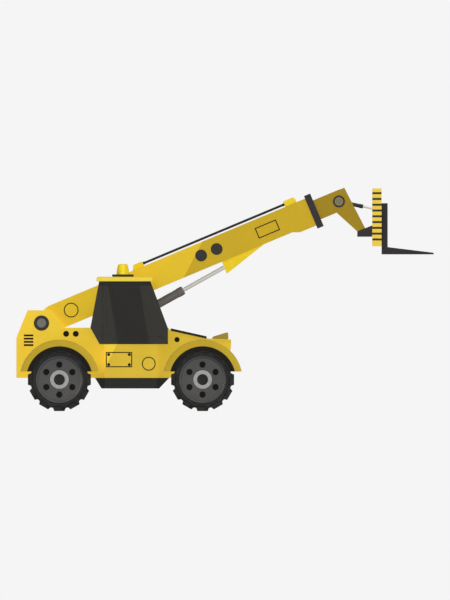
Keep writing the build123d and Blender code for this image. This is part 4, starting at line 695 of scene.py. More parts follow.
def make_rim(corner, hub):
    node = f"rim_{corner}"
    inner, outer = lateral_span(node)
    shape = Shape(node + "_barrel", rim_paint)
    shape.lathed([(inner, RIM_R), (inner, BORE_R), (WEB_INNER + 0.004, BORE_R),
                  (WEB_INNER + 0.004, BORE_R - 0.012), (WEB_OUTER - 0.004, BORE_R - 0.012),
                  (WEB_OUTER + 0.014, BORE_R), (outer - 0.012, BORE_R), (outer - 0.004, BORE_R + 0.004),
                  (outer, BORE_R + 0.012), (outer, RIM_R)], hub, 96, kind="ring")
    shape.use(ring_paint)
    ring_face = WEB_OUTER + RING_HEIGHT
    shape.lathed([(WEB_OUTER - 0.002, RING_R + 0.002), (WEB_OUTER + 0.004, RING_R),
                  (ring_face - 0.006, RING_R), (ring_face, RING_R - 0.006)], hub, 72)
    shape.use(hub_paint)
    top = WEB_OUTER + HUB_HEIGHT
    lip = offset([(-0.012, 0), (-0.004, -0.006), (-0.001, -0.018), (-0.004, -0.024)], top, HUB_R)
    shape.lathed([(WEB_OUTER, HUB_R)] + lip + [(top - 0.004, 0.034), (top, 0.030)], hub, 64)
    shape.bolts(hub, 0, 0, top - 0.005, 0.062, 6, 0.0075, 0.005)
    shape.use(bolt_steel)
    shape.bolts(hub, 0, 0, ring_face, (RING_R + HUB_R) / 2, NUT_COUNT, 0.012, 0.016)
    shape.use(rim_paint)
    holes = circle(HOLE_COUNT, HOLE_CIRCLE, HOLE_COUNT / 4)
    hole_rim = offset([(-0.003, 0.013), (0.003, 0.008), (0.004, 0.003), (-0.003, -0.0005)], WEB_OUTER, HOLE_R)
    hole_rim.append((WEB_INNER + 0.003, HOLE_R - 0.0005))
    for u, w in holes:
        shape.lathed(hole_rim, hub, 36, u, w, kind="shell")
    shape.replace(node, "rim_paint", smooth=38)
    web = pierced_plate(node + "_web", BORE_R + 0.004, holes, WEB_INNER, WEB_OUTER, hub, rim_paint)
    settle(web, body_of(node))


GUARD_R = 0.766
GUARD_SKIN = 0.014
GUARD_INNER = 0.880
GUARD_SHADE_R = 0.640
GUARD_LIP_R = 0.552
GUARD_FACE = 0.010
GUARD_CUT_Z = 0.760
STRAP_LATERAL = 0.766
STRAP = 0.014
STRAP_NEAR = 0.106
STRAP_FAR = 0.150
STEER_ARM = 0.040


def make_mudguard(corner, hub):
    node = f"mudguard_{corner}"
    outer = lateral_span(node)[1]
    back = outer - GUARD_FACE
    under = GUARD_R - GUARD_SKIN
    shape = Shape(node + "_skin", guard_paint)
    edge = offset([(-0.022, 0), (-0.012, -0.002), (-0.004, -0.008), (0, -0.020)], outer, GUARD_R)
    skin = [(GUARD_INNER, under), (GUARD_INNER, GUARD_R)] + edge
    skin += [(outer, GUARD_SHADE_R), (back, GUARD_SHADE_R), (back, under)]
    shape.lathed(skin, hub, 120, kind="ring")
    # Painted shade: a black ring on the guard's outer face, from above the tyre down to the lip, stands in for
    # the shade inside the wheel arch.
    shape.use(deep_black)
    shape.lathed([(back + 0.0005, GUARD_SHADE_R + 0.002), (outer - 0.0015, GUARD_SHADE_R + 0.002),
                  (outer - 0.0015, GUARD_LIP_R + 0.006), (outer - 0.004, GUARD_LIP_R),
                  (back + 0.0005, GUARD_LIP_R)], hub, 120, kind="ring")
    shape.cut_below(GUARD_CUT_Z)
    shape.use(axle_steel)
    for u0, u1 in ((STRAP_NEAR, STRAP_FAR), (-STRAP_FAR, -STRAP_NEAR)):
        shape.slab(u0, u1, STEER_ARM, under - STRAP, STRAP_LATERAL, STRAP_LATERAL + STRAP, hub)
        shape.slab(u0, u1, under - 2 * STRAP, under - STRAP / 2, STRAP_LATERAL, GUARD_INNER + 0.060, hub)
    shape.replace(node, "guard_paint", bevel=0.002, smooth=30)


KINGPIN = 0.780
KNUCKLE_R = 0.078
KNUCKLE_HALF = 0.120
SHADE_DISC_R = 0.360
SHADE_DISC_NEAR = 1.024
SHADE_DISC_FAR = 1.030


def make_knuckle(corner, hub):
    node = f"knuckle_{corner}"
    shape = Shape(node + "_casting", axle_steel)
    half = [(KNUCKLE_HALF, KNUCKLE_R - 0.01), (KNUCKLE_HALF - 0.01, KNUCKLE_R), (0.09, KNUCKLE_R),
            (0.08, KNUCKLE_R - 0.008)]
    post = [(-height, radius) for height, radius in half] + half[::-1]
    shape.turned(post, hub(0, 0, KINGPIN), UP, 40)
    shape.lathed([(KINGPIN, 0.092), (0.868, 0.092), (0.880, 0.120), (0.880, 0.155), (0.890, 0.165),
                  (0.945, 0.165), (0.947, 0.160), (0.953, 0.160), (0.955, 0.165), (1.020, 0.165),
                  (1.030, 0.155), (1.030, 0.092), (WEB_INNER - 0.0005, 0.092)], hub, 56)
    shape.slab(-STRAP_FAR, STRAP_FAR, -STEER_ARM, STEER_ARM, STRAP_LATERAL, STRAP_LATERAL + 0.040, hub)
    # Painted shade: a black disc behind the rim's holes stands in for the shade seen through them.
    shape.use(deep_black)
    shape.lathed([(SHADE_DISC_NEAR, 0.160), (SHADE_DISC_NEAR, SHADE_DISC_R - 0.002), (SHADE_DISC_NEAR + 0.002, SHADE_DISC_R),
                  (SHADE_DISC_FAR, SHADE_DISC_R), (SHADE_DISC_FAR, 0.215), (SHADE_DISC_FAR - 0.003, 0.210),
                  (SHADE_DISC_FAR - 0.003, 0.160)], hub, 72, kind="ring")
    shape.replace(node, "axle_steel", bevel=0.004, smooth=34)


for end in ("rear", "front"):
    for hand, out in (("right", RIGHT), ("left", -RIGHT)):
        corner = f"{end}_{hand}"
        hub = hub_of(f"tyre_{corner}", out)
        for make in (make_tyre, make_rim, make_mudguard, make_knuckle):
            make(corner, hub)

# ---- axles
YOKE_ROOT = 0.640
YOKE_END = 0.850
YOKE_BACK = 0.040
YOKE_ARM = 0.036
YOKE_HALF = 0.070
YOKE_GAP = KNUCKLE_HALF + 0.0003
YOKE_TOP = YOKE_GAP + YOKE_ARM
BEAM_DEPTH_HALF = 0.080
BEAM_HALF = 0.090
BEAM_END = 0.290
TUBE_HALF = 0.074
TUBE_DEPTH_HALF = 0.066
JOIN = 0.005
for node in ("rear_axle", "front_axle"):
    shape = Shape(node + "_casting", axle_steel)
    for hub in both(hub_of(node)):
        shape.slab(-BEAM_HALF, BEAM_HALF, -BEAM_DEPTH_HALF, BEAM_DEPTH_HALF, 0, BEAM_END, hub)
        near, far = BEAM_END - JOIN, YOKE_ROOT + JOIN
        shape.slab(-TUBE_HALF, TUBE_HALF, -TUBE_DEPTH_HALF, TUBE_DEPTH_HALF, near, far, hub)
        shape.slab(-YOKE_HALF, YOKE_HALF, -YOKE_TOP, YOKE_TOP, YOKE_ROOT, YOKE_ROOT + YOKE_BACK, hub)
        for w0, w1 in ((YOKE_GAP, YOKE_TOP), (-YOKE_TOP, -YOKE_GAP)):
            shape.slab(-YOKE_HALF, YOKE_HALF, w0, w1, YOKE_ROOT + YOKE_BACK - 0.004, YOKE_END, hub)
        for up in (1, -1):
            cap = hub(0, up * YOKE_TOP, KINGPIN)
            shape.turned(capped(0, 0.014, 0.048, 0.004), cap, UP * up, 36)
            shape.use(bolt_steel)
            for x, y in circle(4, 0.034, 0.5):
                shape.bolt(cap + Vector((x, y, up * 0.008)), UP * up, 0.006, 0.006)
            shape.use(axle_steel)
    hub = hub_of(node)
    shape.turned([(-0.120, 0.070), (-0.112, 0.095), (-0.085, 0.135), (-0.055, 0.149), (-0.010, 0.150),
                  (-0.008, 0.146), (0.004, 0.146), (0.006, 0.150), (0.040, 0.148), (0.080, 0.120),
                  (0.105, 0.075), (0.112, 0.058), (0.120, 0.055)], hub.origin, AHEAD, 48)
    shape.use(bolt_steel)
    for w, lateral in circle(12, 0.084):
        shape.bolt(hub(-0.113, w, lateral), -AHEAD, 0.006, 0.007)
    shape.replace(node, "axle_steel", bevel=0.010, smooth=34)

# ---- frame
# Painted shade: the louvre slots in the frame plates are painted black where shade falls inside them.
LOUVRE_SLOT_SHADE = in_box((-3.860, 0.2505, 1.25), (-3.681, 0.2745, 1.475))
dress("chassis_frame", plate_paint_with_painted_shade_and_light, 0.002, [(deep_black, LOUVRE_SLOT_SHADE)])
dress("counterweight", body_paint_with_painted_shade, 0.010)
dress("tail_lamps", lamp_red, 0.006)
dress("front_deck", deep_black, 0.003)
DECK_EDGE = [(-1.041, 1.540), (-0.354, 1.386), (-0.354, 1.394), (-1.041, 1.548)]
shape = Shape("deck_edge_seal", deep_black)
for flank in both(SIDE):
    shape.prism(DECK_EDGE, 0.392, 0.4015, flank)
shape.finish("chassis", bevel=0.001)
dress("lamp_pods", lamp_paint, 0.008)
dress("belly_guard", belly_plastic, 0.010)

PLATE_OUTER = 0.275
# Painted shade: black plates set in the louvre slots stand in for the shade inside them.
SLOT_SHADE_ENDS = (-3.862, -3.679)
SLOT_SHADE_TOP_Z = 1.453
SLOT_SHADE_PITCH = 0.062
SLOT_SHADE_HALF = 0.018
SLOT_SHADE_COUNT = 4
shape = Shape("louvre_slot_shade_plates", deep_black)
for flank in both(SIDE):
    for i in range(SLOT_SHADE_COUNT):
        z = SLOT_SHADE_TOP_Z - SLOT_SHADE_PITCH * i
        blade = (*SLOT_SHADE_ENDS, z - SLOT_SHADE_HALF, z + SLOT_SHADE_HALF)
        shape.slab(*blade, PLATE_OUTER - 0.014, PLATE_OUTER + 0.001, flank)
shape.finish("chassis", bevel=0.001)
CAP_FACE = PLATE_OUTER + 0.010
CAPS = (
    # x, z, radius
    (-3.050, 1.484, 0.057),
    (-2.865, 1.484, 0.057),
    (-0.921, 1.373, 0.050),
)
shape = Shape("pin_cap_discs", deep_black)
for flank in both(SIDE):
    for x, z, radius in CAPS:
        dish = [(CAP_FACE, radius * 0.62), (CAP_FACE - 0.003, radius * 0.56)]
        shape.lathed(capped(PLATE_OUTER, CAP_FACE, radius, 0.004) + dish, flank, 40, x, z)
shape.replace("pin_caps", "dark_steel", smooth=30)

PIN_R = 0.060
PIN_FLANGE_R = 0.147
PIN_CAP_R = 0.088
PIN_CAP_INNER = PLATE_OUTER + 0.016
PIN_CAP_OUTER = PIN_CAP_INNER + 0.016
shape = Shape("boom_pin_turned", bolt_steel)
pin_at = Place(BOOM.origin, AHEAD)
shape.lathed([(-PLATE_OUTER, PIN_R), (PLATE_OUTER, PIN_R)], pin_at, 48)
for flank in both(pin_at):
    shape.use(pin_black)
    shape.lathed(capped(PLATE_OUTER, PIN_CAP_INNER, PIN_FLANGE_R, 0.005), flank, 64)
    shape.bolts(flank, 0, 0, PIN_CAP_INNER, 0.122, 8, 0.009, 0.007)
    shape.use(pin_grey)
    cap = capped(PIN_CAP_INNER, PIN_CAP_OUTER, PIN_CAP_R, 0.006, 0.007)
    shape.lathed(cap + [(PIN_CAP_OUTER, 0.030), (PIN_CAP_OUTER - 0.004, 0.026)], flank, 64)
shape.replace("boom_pin", "dark_steel", smooth=30)

LAMP_R = 0.044
low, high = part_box("lamp_lenses")
depth = high.x - low.x
shape = Shape("lamp_lens_set", lamp_clear)
for y in (low.y + LAMP_R, high.y - LAMP_R):
    lamp_at = (low.x, y, (low.z + high.z) / 2)
    shape.use(lamp_clear)
    shape.turned([(depth - 0.004, LAMP_R - 0.006), (depth, LAMP_R - 0.007), (depth + 0.003, LAMP_R * 0.5),
                  (depth + 0.004, 0)], lamp_at, AHEAD, 40, kind="shell")
    shape.use(reflector)
    shape.turned([(0, LAMP_R), (depth + 0.003, LAMP_R), (depth + 0.003, LAMP_R - 0.005),
                  (depth - 0.002, LAMP_R - 0.006), (0.002, 0.012)], lamp_at, AHEAD, 40)
shape.replace("lamp_lenses", "lamp_clear", smooth=40)

# ---- cab
HATCH = (-2.278, -1.792, 0.852, 1.125)
HATCH_FACE = 1.155
FILLER = (-1.464, 0.910, 0.123)
SEAM = 0.0095
SEAM_SUNK = 0.006
SEAM_PROUD = 0.0015


def seam_frame(shape, place, u0, u1, w0, w1, face):
    """A thin dark seal round a rectangular cover."""
    for box in ((u0 - SEAM, u1 + SEAM, w0 - SEAM, w0 + SEAM), (u0 - SEAM, u1 + SEAM, w1 - SEAM, w1 + SEAM),
                (u0 - SEAM, u0 + SEAM, w0, w1), (u1 - SEAM, u1 + SEAM, w0, w1)):
        shape.slab(*box, face - SEAM_SUNK, face + SEAM_PROUD, place)


def seam_ring(shape, place, u, w, radius, face):
    """A thin dark seal round a circular cover."""
    near, far = face - SEAM_SUNK, face + SEAM_PROUD
    shape.lathed([(near, radius + SEAM), (far, radius + SEAM), (far, radius - SEAM), (near, radius - SEAM)],
                 place, 72, u, w, kind="ring")


dress("cab_tub", body_paint_with_painted_shade, 0.004)
shape = Shape("hatch_seams", deep_black)
seam_frame(shape, SIDE, *HATCH, HATCH_FACE)
seam_ring(shape, SIDE, *FILLER, HATCH_FACE)
for x in (HATCH[0] + 0.045, HATCH[1] - 0.045):
    for z in (HATCH[2] + 0.040, HATCH[3] - 0.040):
        shape.bolt(SIDE(x, z, HATCH_FACE), RIGHT, 0.020, 0.008)
shape.finish("chassis", smooth=30)

dress("cab_frame", cab_paint_with_painted_reflection, 0.005)
dress("cab_glass", cab_glass, 0.0)
dress("cab_roof", roof_paint, 0.014, segments=3)
dress("beacon_base", black_paint, 0.008)

BEACON_R = 0.122
BEACON_TOP_R = 0.088
BEACON_RIBS = 9
low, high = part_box("beacon")
beacon_at = Vector(((low.x + high.x) / 2, (low.y + high.y) / 2, low.z))
tall = high.z - low.z
# Painted shade: the beacon lens is lighter behind a line across it and darker in front.
beacon_painted_shade_rule = split_rule(BEACON_YELLOW, BEACON_PAINTED_SHADE, AHEAD, (beacon_at.x + 0.03, 0, 0), 0.003)
shape = Shape("beacon_lens", lens("beacon lens with painted shade", beacon_painted_shade_rule, glow=0.12, gloss=0.1))
profile = [(0, BEACON_R), (0.016, BEACON_R), (0.018, BEACON_R - 0.003)]
for i in range(BEACON_RIBS):
    along = 0.022 + (tall - 0.062) * i / (BEACON_RIBS - 1)
    radius = BEACON_R - (BEACON_R - BEACON_TOP_R) * (along / tall) ** 1.7
    profile += [(along, radius - 0.0025), (along + 0.004, radius), (along + 0.014, radius)]
for below, draw_in in ((0.018, 0.001), (0.006, 0.010), (0, 0.026)):
    profile.append((tall - below, BEACON_TOP_R - draw_in))
shape.turned(profile, beacon_at, UP, 64)
shape.replace("beacon", "beacon_plastic", smooth=40)

# seat: a suspension base, a cushion and a backrest, with side bolsters
SEAT_FOLD = 0.055
low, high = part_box("operator_seat")
seat_mid = -(low.y + high.y) / 2
seat_half = (high.y - low.y) / 2
base_half = seat_half - 0.080
shape = Shape("seat_base", grey_plastic)
for step in range(4):
    tuck = 0.012 * (step % 2)
    shape.slab(-2.290 + tuck, -1.970 - tuck, low.z + SEAT_FOLD * step, low.z + SEAT_FOLD * (step + 1),
               seat_mid - base_half + tuck, seat_mid + base_half - tuck)
shape.finish("chassis", bevel=0.006)


def pad(shape, middle, along, up, half_along, half_across, half_thick, channels=()):
    """A crowned pad whose sides pull in between its corners, with sewn channels across it."""
    along, up = Vector(along).normalized(), Vector(up).normalized()
    steps = 36
    spread = [math.sin(math.pi * (i / steps - 0.5)) for i in range(steps + 1)]
    for face, rise in ((1, half_thick), (-1, half_thick * 0.8)):
        rows = []
        for a in spread:
            row = []
            for b in spread:
                crown = ((1 - abs(a) ** 5) * (1 - abs(b) ** 5)) ** 0.45
                sewn = sum(math.exp(-((a - spot) / 0.035) ** 2) for spot in channels) * (face > 0)
                corner = 1 - 0.09 * (a * b) ** 6
                point = Vector(middle) + along * half_along * a * (0.97 + 0.03 * b * b) * corner
                point += RIGHT * half_across * b * (0.97 + 0.03 * a * a) * corner
                point += up * face * rise * crown * (1 - 0.22 * sewn)
                row.append(shape.work.verts.new(point))
            rows.append(row)
        for i in range(steps):
            for j in range(steps):
                shape.face((rows[i][j], rows[i + 1][j], rows[i + 1][j + 1], rows[i][j + 1]))


PADS = (
    # piece, nodes replaced, x and z of the middle, direction, half length, half thickness of pad and bolster
    ("seat_cushion", ("operator_seat",), (-2.106, 1.604), (1, 0, 0.02), 0.234, 0.042, 0.052),
    ("seat_backrest", (), (-2.335, 1.915), (-0.10, 0, 1), 0.305, 0.036, 0.048),
)
BOLSTER_HALF = 0.052
for name, stands_for, (x, z), along, half_along, half_thick, bolster_thick in PADS:
    up = Vector(along).cross(RIGHT) * -1
    up = up if up.x + up.z > 0 else -up
    shape = Shape(name, seat_cloth)
    pad(shape, SIDE(x, z, seat_mid), along, up, half_along, seat_half - 0.075, half_thick, (-0.5, 0.0, 0.5))
    for side in (1, -1):
        middle = SIDE(x, z, seat_mid + side * (seat_half - BOLSTER_HALF))
        pad(shape, middle, along, up, half_along, BOLSTER_HALF, bolster_thick)
    cushion = shape.finish("chassis", smooth=60, stands_for=stands_for)

# steering column, wheel and its knob
WHEEL_R = 0.170
GRIP_R = 0.013
low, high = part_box("steering_console")
console_mid = -(low.y + high.y) / 2
shape = Shape("steering_column", grey_plastic)
column = [(-1.420, low.z), (-1.350, low.z), (-1.482, 1.845), (-1.505, 1.862), (-1.550, 1.848),
          (-1.560, 1.825)]
shape.prism(column, console_mid - 0.070, console_mid + 0.070)
dials = [(-1.500, 1.690), (-1.455, 1.690), (-1.480, 1.840), (-1.530, 1.825)]
shape.prism(dials, console_mid - 0.064, console_mid + 0.064)
steer_axis = Vector((-0.35, 0, 1)).normalized()
steer_at = SIDE(-1.540, 1.870, console_mid)
shape.use(cab_plastic)
shape.turned([(-0.070, 0.028), (0, 0.026)], steer_at, steer_axis, 32)
grip = [(0.013 + b, WHEEL_R + a) for a, b in circle(12, GRIP_R)]
shape.turned(grip, steer_at, steer_axis, 64, kind="ring")
shape.turned([(0.0, 0.046), (0.016, 0.046), (0.024, 0.036), (0.026, 0)], steer_at, steer_axis, 40)
fore = steer_axis.cross(-RIGHT)
for a, b in circle(3, 1, 0.75):
    away = fore * b - RIGHT * a
    spoke = [steer_at + steer_axis * 0.010 + away * 0.035, steer_at + steer_axis * 0.012 + away * 0.160]
    shape.tube(spoke, 0.010, 12)
knob = [(0.020, 0.010), (0.045, 0.012), (0.060, 0.022), (0.072, 0.020), (0.078, 0)]
shape.turned(knob, steer_at - RIGHT * 0.150, steer_axis, 24)
shape.replace("steering_console", "belly_plastic", bevel=0.004, smooth=40)

# ---- cab door
HANDLE_REAR = -1.310
HANDLE_FRONT = -1.210
HANDLE_Z = 1.435
HINGE_LEVELS = (1.500, 2.250)
hinge_at = JOINTS["cab_door_hinge"]["pos_m"]
dress("door_frame", cab_paint_with_painted_reflection, 0.005)
dress("door_glass", cab_glass, 0.0)
shape = Shape("door_handle", cab_paint_with_painted_reflection)
shape.slab(HANDLE_REAR, HANDLE_FRONT, HANDLE_Z - 0.011, HANDLE_Z + 0.011, 1.1655, 1.168)
bow = [(0.010, 1.166), (0.014, 1.178), (0.026, 1.182)]
path = [(HANDLE_REAR + inset, lateral) for inset, lateral in bow]
path += [(HANDLE_FRONT - inset, lateral) for inset, lateral in reversed(bow)]
shape.tube([SIDE(x, HANDLE_Z, lateral) for x, lateral in path], 0.006, 12)
shape.finish("cab_door", bevel=0.002)
for level in HINGE_LEVELS:
    shape = Shape("door_hinge_pin", cab_paint_with_painted_reflection)
    shape.turned([(-0.072, 0.0125), (-0.070, 0.0135), (0.070, 0.0135), (0.072, 0.0125)],
                 (hinge_at[0], hinge_at[1], level), UP, 24)
    shape.finish("chassis", smooth=30)

# ---- engine pod
POD_OUTER = 1.165
in_grille = in_box((-2.262, POD_OUTER - 0.021, 1.344), (-1.298, POD_OUTER - 0.0003, 1.506))
grille_rules = [(deep_black, lambda point: point.y > 0 and in_grille(point))]
dress("engine_bay", body_paint_with_painted_shade, 0.006)
dress("engine_hood", body_paint_with_painted_shade, 0.006, grille_rules)

CYLINDER_COUNT = 4
CYLINDER_PITCH = 0.130
FAN_BLADES = 7
FAN_BLADE = ((0.040, -0.020), (0.230, -0.046), (0.230, 0.046), (0.040, 0.020))
BLADE_LEAN = 0.018
BLADE_SKIN = AHEAD * 0.004
low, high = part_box("engine_block")
middle_y = (low.y + high.y) / 2
shape = Shape("engine_detail", engine_iron)
shape.box((low.x + 0.060, low.y + 0.110, 0.880), (high.x - 0.110, high.y - 0.110, 1.130))
shape.box((low.x + 0.080, low.y + 0.150, 0.762), (high.x - 0.150, high.y - 0.150, 0.885))
for i in range(CYLINDER_COUNT):
    x = low.x + 0.110 + i * CYLINDER_PITCH
    shape.use(engine_alloy)
    shape.box((x, low.y + 0.170, 1.125), (x + 0.105, high.y - 0.170, 1.215))
    shape.turned(capped(0, 0.045, 0.030, 0.011, 0.012), (x + 0.052, middle_y, 1.214), UP, 24)
    shape.use(engine_iron)
    x += 0.050
    port = [(x, high.y - 0.120, 1.080), (x, high.y - 0.060, 1.080), (x + 0.020, high.y - 0.035, 1.060)]
    shape.tube(port, 0.024, 14)
shape.tube([(low.x + 0.110, high.y - 0.036, 1.050), (high.x - 0.160, high.y - 0.036, 1.050)], 0.034, 18)
for x in (low.x + 0.080, high.x - 0.080):
    shape.box((x - 0.050, low.y + 0.02, 0.6575), (x + 0.050, low.y + 0.10, 0.900))
    shape.box((x - 0.050, high.y - 0.10, 0.6575), (x + 0.050, high.y - 0.02, 0.900))
    shape.box((x - 0.040, low.y + 0.06, 0.800), (x + 0.040, high.y - 0.06, 0.860))
shape.use(black_paint)
fan_at = Vector((high.x - 0.075, middle_y, 1.010))
for y, z in circle(FAN_BLADES):
    away, across = Vector((0, y, z)), Vector((0, -z, y))
    blade = []
    for reach, aside in FAN_BLADE:
        lean = AHEAD * math.copysign(BLADE_LEAN, aside)
        blade.append(fan_at + away * reach + across * aside + lean)
    points = blade + [point + BLADE_SKIN for point in blade]
    shape.faces(points, [(0, 1, 2, 3), (7, 6, 5, 4), (0, 4, 5, 1), (1, 5, 6, 2), (2, 6, 7, 3), (3, 7, 4, 0)])
shape.turned([(-0.035, 0.050), (0.012, 0.050), (0.020, 0.040)], fan_at, AHEAD, 32)
for y, z, radius in ((low.y + 0.150, 0.930, 0.070), (high.y - 0.150, 0.900, 0.055)):
    shape.turned([(-0.10, radius), (-0.090, radius - 0.010), (-0.080, radius)],
                 (high.x - 0.010, y, z), AHEAD, 36)
shape.replace("engine_block", "cast_iron", bevel=0.006, smooth=34)

# ---- boom
FLANK = 0.170
BRACKET = (3.640, 4.535, -0.2525)
COVER_R = 0.1135
COVER_FACE = FLANK + 0.009
DARK_COVERS = ((3.329, 0.014), (3.652, 0.013))
HEAD_FLANK = 0.132
HEAD_BOSS = HEAD_FLANK + 0.0145
HEAD_CAP = HEAD_FLANK + 0.0245
PIPE_R = 0.023


def bracket_face(point):
    u, w = BOOM.local(point)
    return BRACKET[0] <= u <= BRACKET[1] and w < BRACKET[2] and abs(point.y) < 0.112


cover_rules = [(cover_black, near_spot(BOOM, *spot, 0.114, FLANK + 0.0005)) for spot in DARK_COVERS]
dress("outer_boom", boom_paint_with_painted_shade, 0.006, [(trim_paint, bracket_face)] + cover_rules)
shape = Shape("boom_cover_details", cover_black)
for flank in both(BOOM):
    shape.use(cover_black)
    for u, w in DARK_COVERS:
        shape.lathed(capped(FLANK, COVER_FACE, COVER_R, 0.003, 0.0035), flank, 64, u, w)
        shape.bolts(flank, u, w, COVER_FACE, 0.092, 6, 0.007, 0.005)
    shape.use(deep_black)
    seam_ring(shape, flank, 0.622, 0.010, 0.132, FLANK + 0.005)
    seam_frame(shape, flank, 4.487, 4.909, -0.106, 0.090, FLANK + 0.005)
shape.finish("boom", smooth=30)

dress("boom_collar", collar_paint, 0.006)
dress("pipe_blocks", trim_paint, 0.008, segments=3)
shape = Shape("boom_pipe_pair", black_paint)
for lateral in (0.060, -0.060):
    shape.rod(BOOM(2.240, 0.303, lateral), BOOM(5.182, 0.303, lateral), PIPE_R, 24)
    for u in (2.262, 5.160):
        shape.rod(BOOM(u - 0.020, 0.303, lateral), BOOM(u + 0.020, 0.303, lateral), PIPE_R + 0.006, 6)
shape.replace("boom_pipes", "dark_steel", smooth=30)

dress("inner_boom", stage_paint_painted_shade, 0.005)
dress("boom_head", stage_paint_painted_shade, 0.005)
shape = Shape("trunnion_bosses", pin_black)
for flank in both(CROWD):
    shape.use(pin_black)
    shape.lathed(capped(HEAD_FLANK, HEAD_BOSS, 0.117, 0.0045, 0.005), flank, 64)
    shape.use(pin_grey)
    shape.lathed(capped(HEAD_BOSS - 0.0005, HEAD_CAP, 0.070, 0.0045, 0.0055), flank, 64)
shape.finish("boom_stage", smooth=30)


# ---- cylinders
def eye(shape, place, u, radius, half, bore=0.0):
    """A round eye across the cylinder, with chamfered ends and, where a pin passes, a bore."""
    shape.lathed([(-half, bore), (-half, radius - 0.006), (-half + 0.006, radius), (half - 0.006, radius),
                  (half, radius - 0.006), (half, bore)], place, 48, u, kind="ring")


def reach_of(node, place):
    """How far a node reaches along a place."""
    return max(place.local(vertex.co)[0] for vertex in NODES[node].data.vertices)


BARREL_R = 0.088
BARREL_START, BARREL_FLOOR, BARREL_END = 0.150, 0.190, 2.931
ROD_BORE = 0.0405
shape = Shape("lift_barrel_turned", barrel_paint)
eye(shape, LIFT, 0, 0.084, 0.060, 0.0308)
shape.slab(0.060, 0.160, -0.055, 0.055, -0.048, 0.048, LIFT)
shape.turned([(BARREL_START, BARREL_R - 0.012), (BARREL_START + 0.012, BARREL_R), (0.230, BARREL_R),
              (0.236, BARREL_R - 0.005), (2.800, BARREL_R - 0.005), (2.806, BARREL_R), (2.900, BARREL_R),
              (2.904, BARREL_R - 0.006), (BARREL_END - 0.006, BARREL_R - 0.006),
              (BARREL_END, BARREL_R - 0.009), (BARREL_END, 0.052), (BARREL_END - 0.004, 0.048),
              (BARREL_END - 0.004, ROD_BORE), (BARREL_FLOOR, ROD_BORE)], LIFT.origin, LIFT.along, 56)
shape.replace("lift_barrel", "barrel_paint", bevel=0.003)

lift_eye = reach_of("lift_rod", LIFT) - 0.045
shape = Shape("lift_rod_turned", rod_chrome)
shape.rod(LIFT(1.300, 0), LIFT(lift_eye - 0.030, 0), 0.040, 40, 0.004)
shape.use(barrel_paint)
eye(shape, LIFT, lift_eye, 0.045, 0.045)
shape.replace("lift_rod", "rod_chrome")

CROWD_R = 0.040
CROWD_TUBE_R = 0.037
CROWD_END = 0.474
shape = Shape("crowd_barrel_turned", collar_paint)
shape.turned([(-0.170, CROWD_R - 0.006), (-0.164, CROWD_R), (-0.130, CROWD_R), (-0.127, CROWD_TUBE_R),
              (0.400, CROWD_TUBE_R), (0.403, CROWD_R), (0.455, CROWD_R), (0.458, CROWD_TUBE_R),
              (CROWD_END, CROWD_TUBE_R), (CROWD_END, 0.0195), (-0.150, 0.0195)],
             CROWD.origin, CROWD.along, 44)
shape.turned([(-0.048, 0.030), (-0.048, 0.047), (-0.043, 0.052), (0.043, 0.052), (0.048, 0.047),
              (0.048, 0.030)], CROWD.origin, CROWD.along, 44, kind="ring")
for flank in both(CROWD):
    shape.use(collar_paint)
    shape.lathed(capped(0.022, 0.060, 0.052, 0.006), flank, 40)
    shape.use(bolt_steel)
    shape.lathed([(0.055, 0.0294), (0.1315, 0.0294)], flank, 40)
shape.replace("crowd_barrel", "barrel_paint")

crowd_eye = reach_of("crowd_rod", CROWD) - 0.027
shape = Shape("crowd_rod_turned", rod_chrome)
shape.rod(CROWD(-0.015, 0), CROWD(crowd_eye - 0.020, 0), 0.019)
shape.use(barrel_paint)
eye(shape, CROWD, crowd_eye, 0.027, 0.024)
shape.replace("crowd_rod", "rod_chrome")

# ---- carriage and forks
STRIPE_TOP = 4.184
STRIPE_PITCH = 0.111
STRIPE = 0.041
STRIPE_COUNT = 9


def stripe_rule(shader):
    """Black bands across the yellow cheeks, level with the rungs."""
    down = shader.math("DIVIDE", shader.math("SUBTRACT", STRIPE_TOP, shader.along(UP)), STRIPE_PITCH)
    off = shader.math("ABSOLUTE", shader.math("SUBTRACT", down, shader.math("ROUND", down)))
    half = STRIPE / STRIPE_PITCH / 2
    band = shader.span(off, half - 0.01, half + 0.01, 1, 0)
    above = shader.span(down, -half - 0.02, -half)
    below = shader.span(down, STRIPE_COUNT - 1 + half, STRIPE_COUNT - 1 + half + 0.02, 1, 0)
    share = shader.math("MULTIPLY", band, shader.math("MULTIPLY", above, below))
    return shader.mix(share, CHEEK_YELLOW, CHEEK_BLACK)


CHEEKS = in_box((2.82, 0.560, 3.1), (3.01, 0.605, 4.30))
cheek_paint = paint("cheek stripes", stripe_rule, 0.42)
carriage_rule = split_rule(COLLAR_BLACK, YELLOW_TRIM, AHEAD, (2.8265, 0, 0), 0.001)
carriage_paint = paint("carriage yellow", carriage_rule, 0.42)
dress("carriage", carriage_paint, 0.004, [(cheek_paint, CHEEKS)])
dress("carriage_bars", deep_black, 0.004)
dress("forks", fork_paint, 0.007, segments=3)

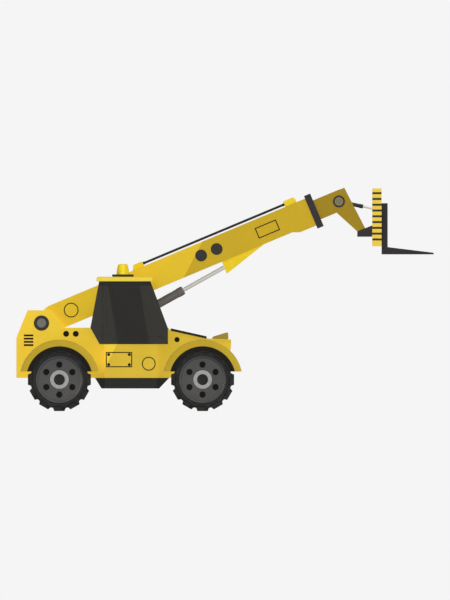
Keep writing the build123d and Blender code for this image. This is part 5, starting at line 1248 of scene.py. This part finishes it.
# ---- light, floor, background and camera
SUNS = (
    # name, where it shines from, strength, width in degrees, casts shadows
    ("sun_right", (-0.25, -0.90, 0.36), 0.28, 14, True),
    ("sun_left", (0.25, 0.90, 0.36), 0.28, 14, True),
    ("fill_right", (0.45, -0.87, 0.20), 2.16, 40, False),
    ("fill_left", (-0.45, 0.87, 0.20), 2.16, 40, False),
    ("sun_above", (0.25, -0.20, 0.95), 0.55, 20, True),
)
AMBIENT = 0.17
SPAN_M = 11.52
FLOOR_HALF = 200
CAMERA_AWAY = 20
IMAGE_CENTRE_Z = 2.133

for name, place, strength, width, shadows in SUNS:
    sun = bpy.data.lights.new(name, "SUN")
    sun.energy = strength
    sun.angle = math.radians(width)
    sun.use_shadow = shadows
    sun_obj = add(name, sun)
    sun_obj.rotation_euler = Vector(place).to_track_quat("Z", "Y").to_euler()

floor_mesh = bpy.data.meshes.new("floor")
corners = [(x * FLOOR_HALF, y * FLOOR_HALF, 0) for x, y in ((-1, -1), (1, -1), (1, 1), (-1, 1))]
floor_mesh.from_pydata(corners, [], [(0, 1, 2, 3)])
floor_look = Shader("studio floor").set(roughness=0.9, specular_ior_level=0.1, base_color=FLOOR_GREY)
floor_mesh.materials.append(floor_look)
floor = add("floor", floor_mesh)

# the paper behind it all: bright to the camera and in reflections, faint as a light
world = bpy.data.worlds.new("studio")
bpy.context.scene.world = world
world.use_nodes = True
sky = Nodes(world.node_tree)
faint = sky.node("ShaderNodeBackground", ((1, 1, 1, 1), AMBIENT))
bright = sky.node("ShaderNodeBackground", (PAPER, 1))
seen = 0
for kind in ("Is Camera Ray", "Is Glossy Ray", "Is Transmission Ray"):
    seen = sky.math("MAXIMUM", seen, sky.node("ShaderNodeLightPath", output=kind))
choice = sky.node("ShaderNodeMixShader", (seen, faint, bright))
sky.link(choice, sky.tree.nodes["World Output"].inputs["Surface"])

camera = bpy.data.cameras.new("camera")
camera.type = "ORTHO"
camera.ortho_scale = SPAN_M
camera.clip_end = 200
camera_obj = add("camera", camera)
camera_obj.location = (0, -CAMERA_AWAY, IMAGE_CENTRE_Z)
camera_obj.rotation_euler = (math.pi / 2, 0, 0)
bpy.context.scene.camera = camera_obj
bpy.context.scene.view_settings.view_transform = "Standard"
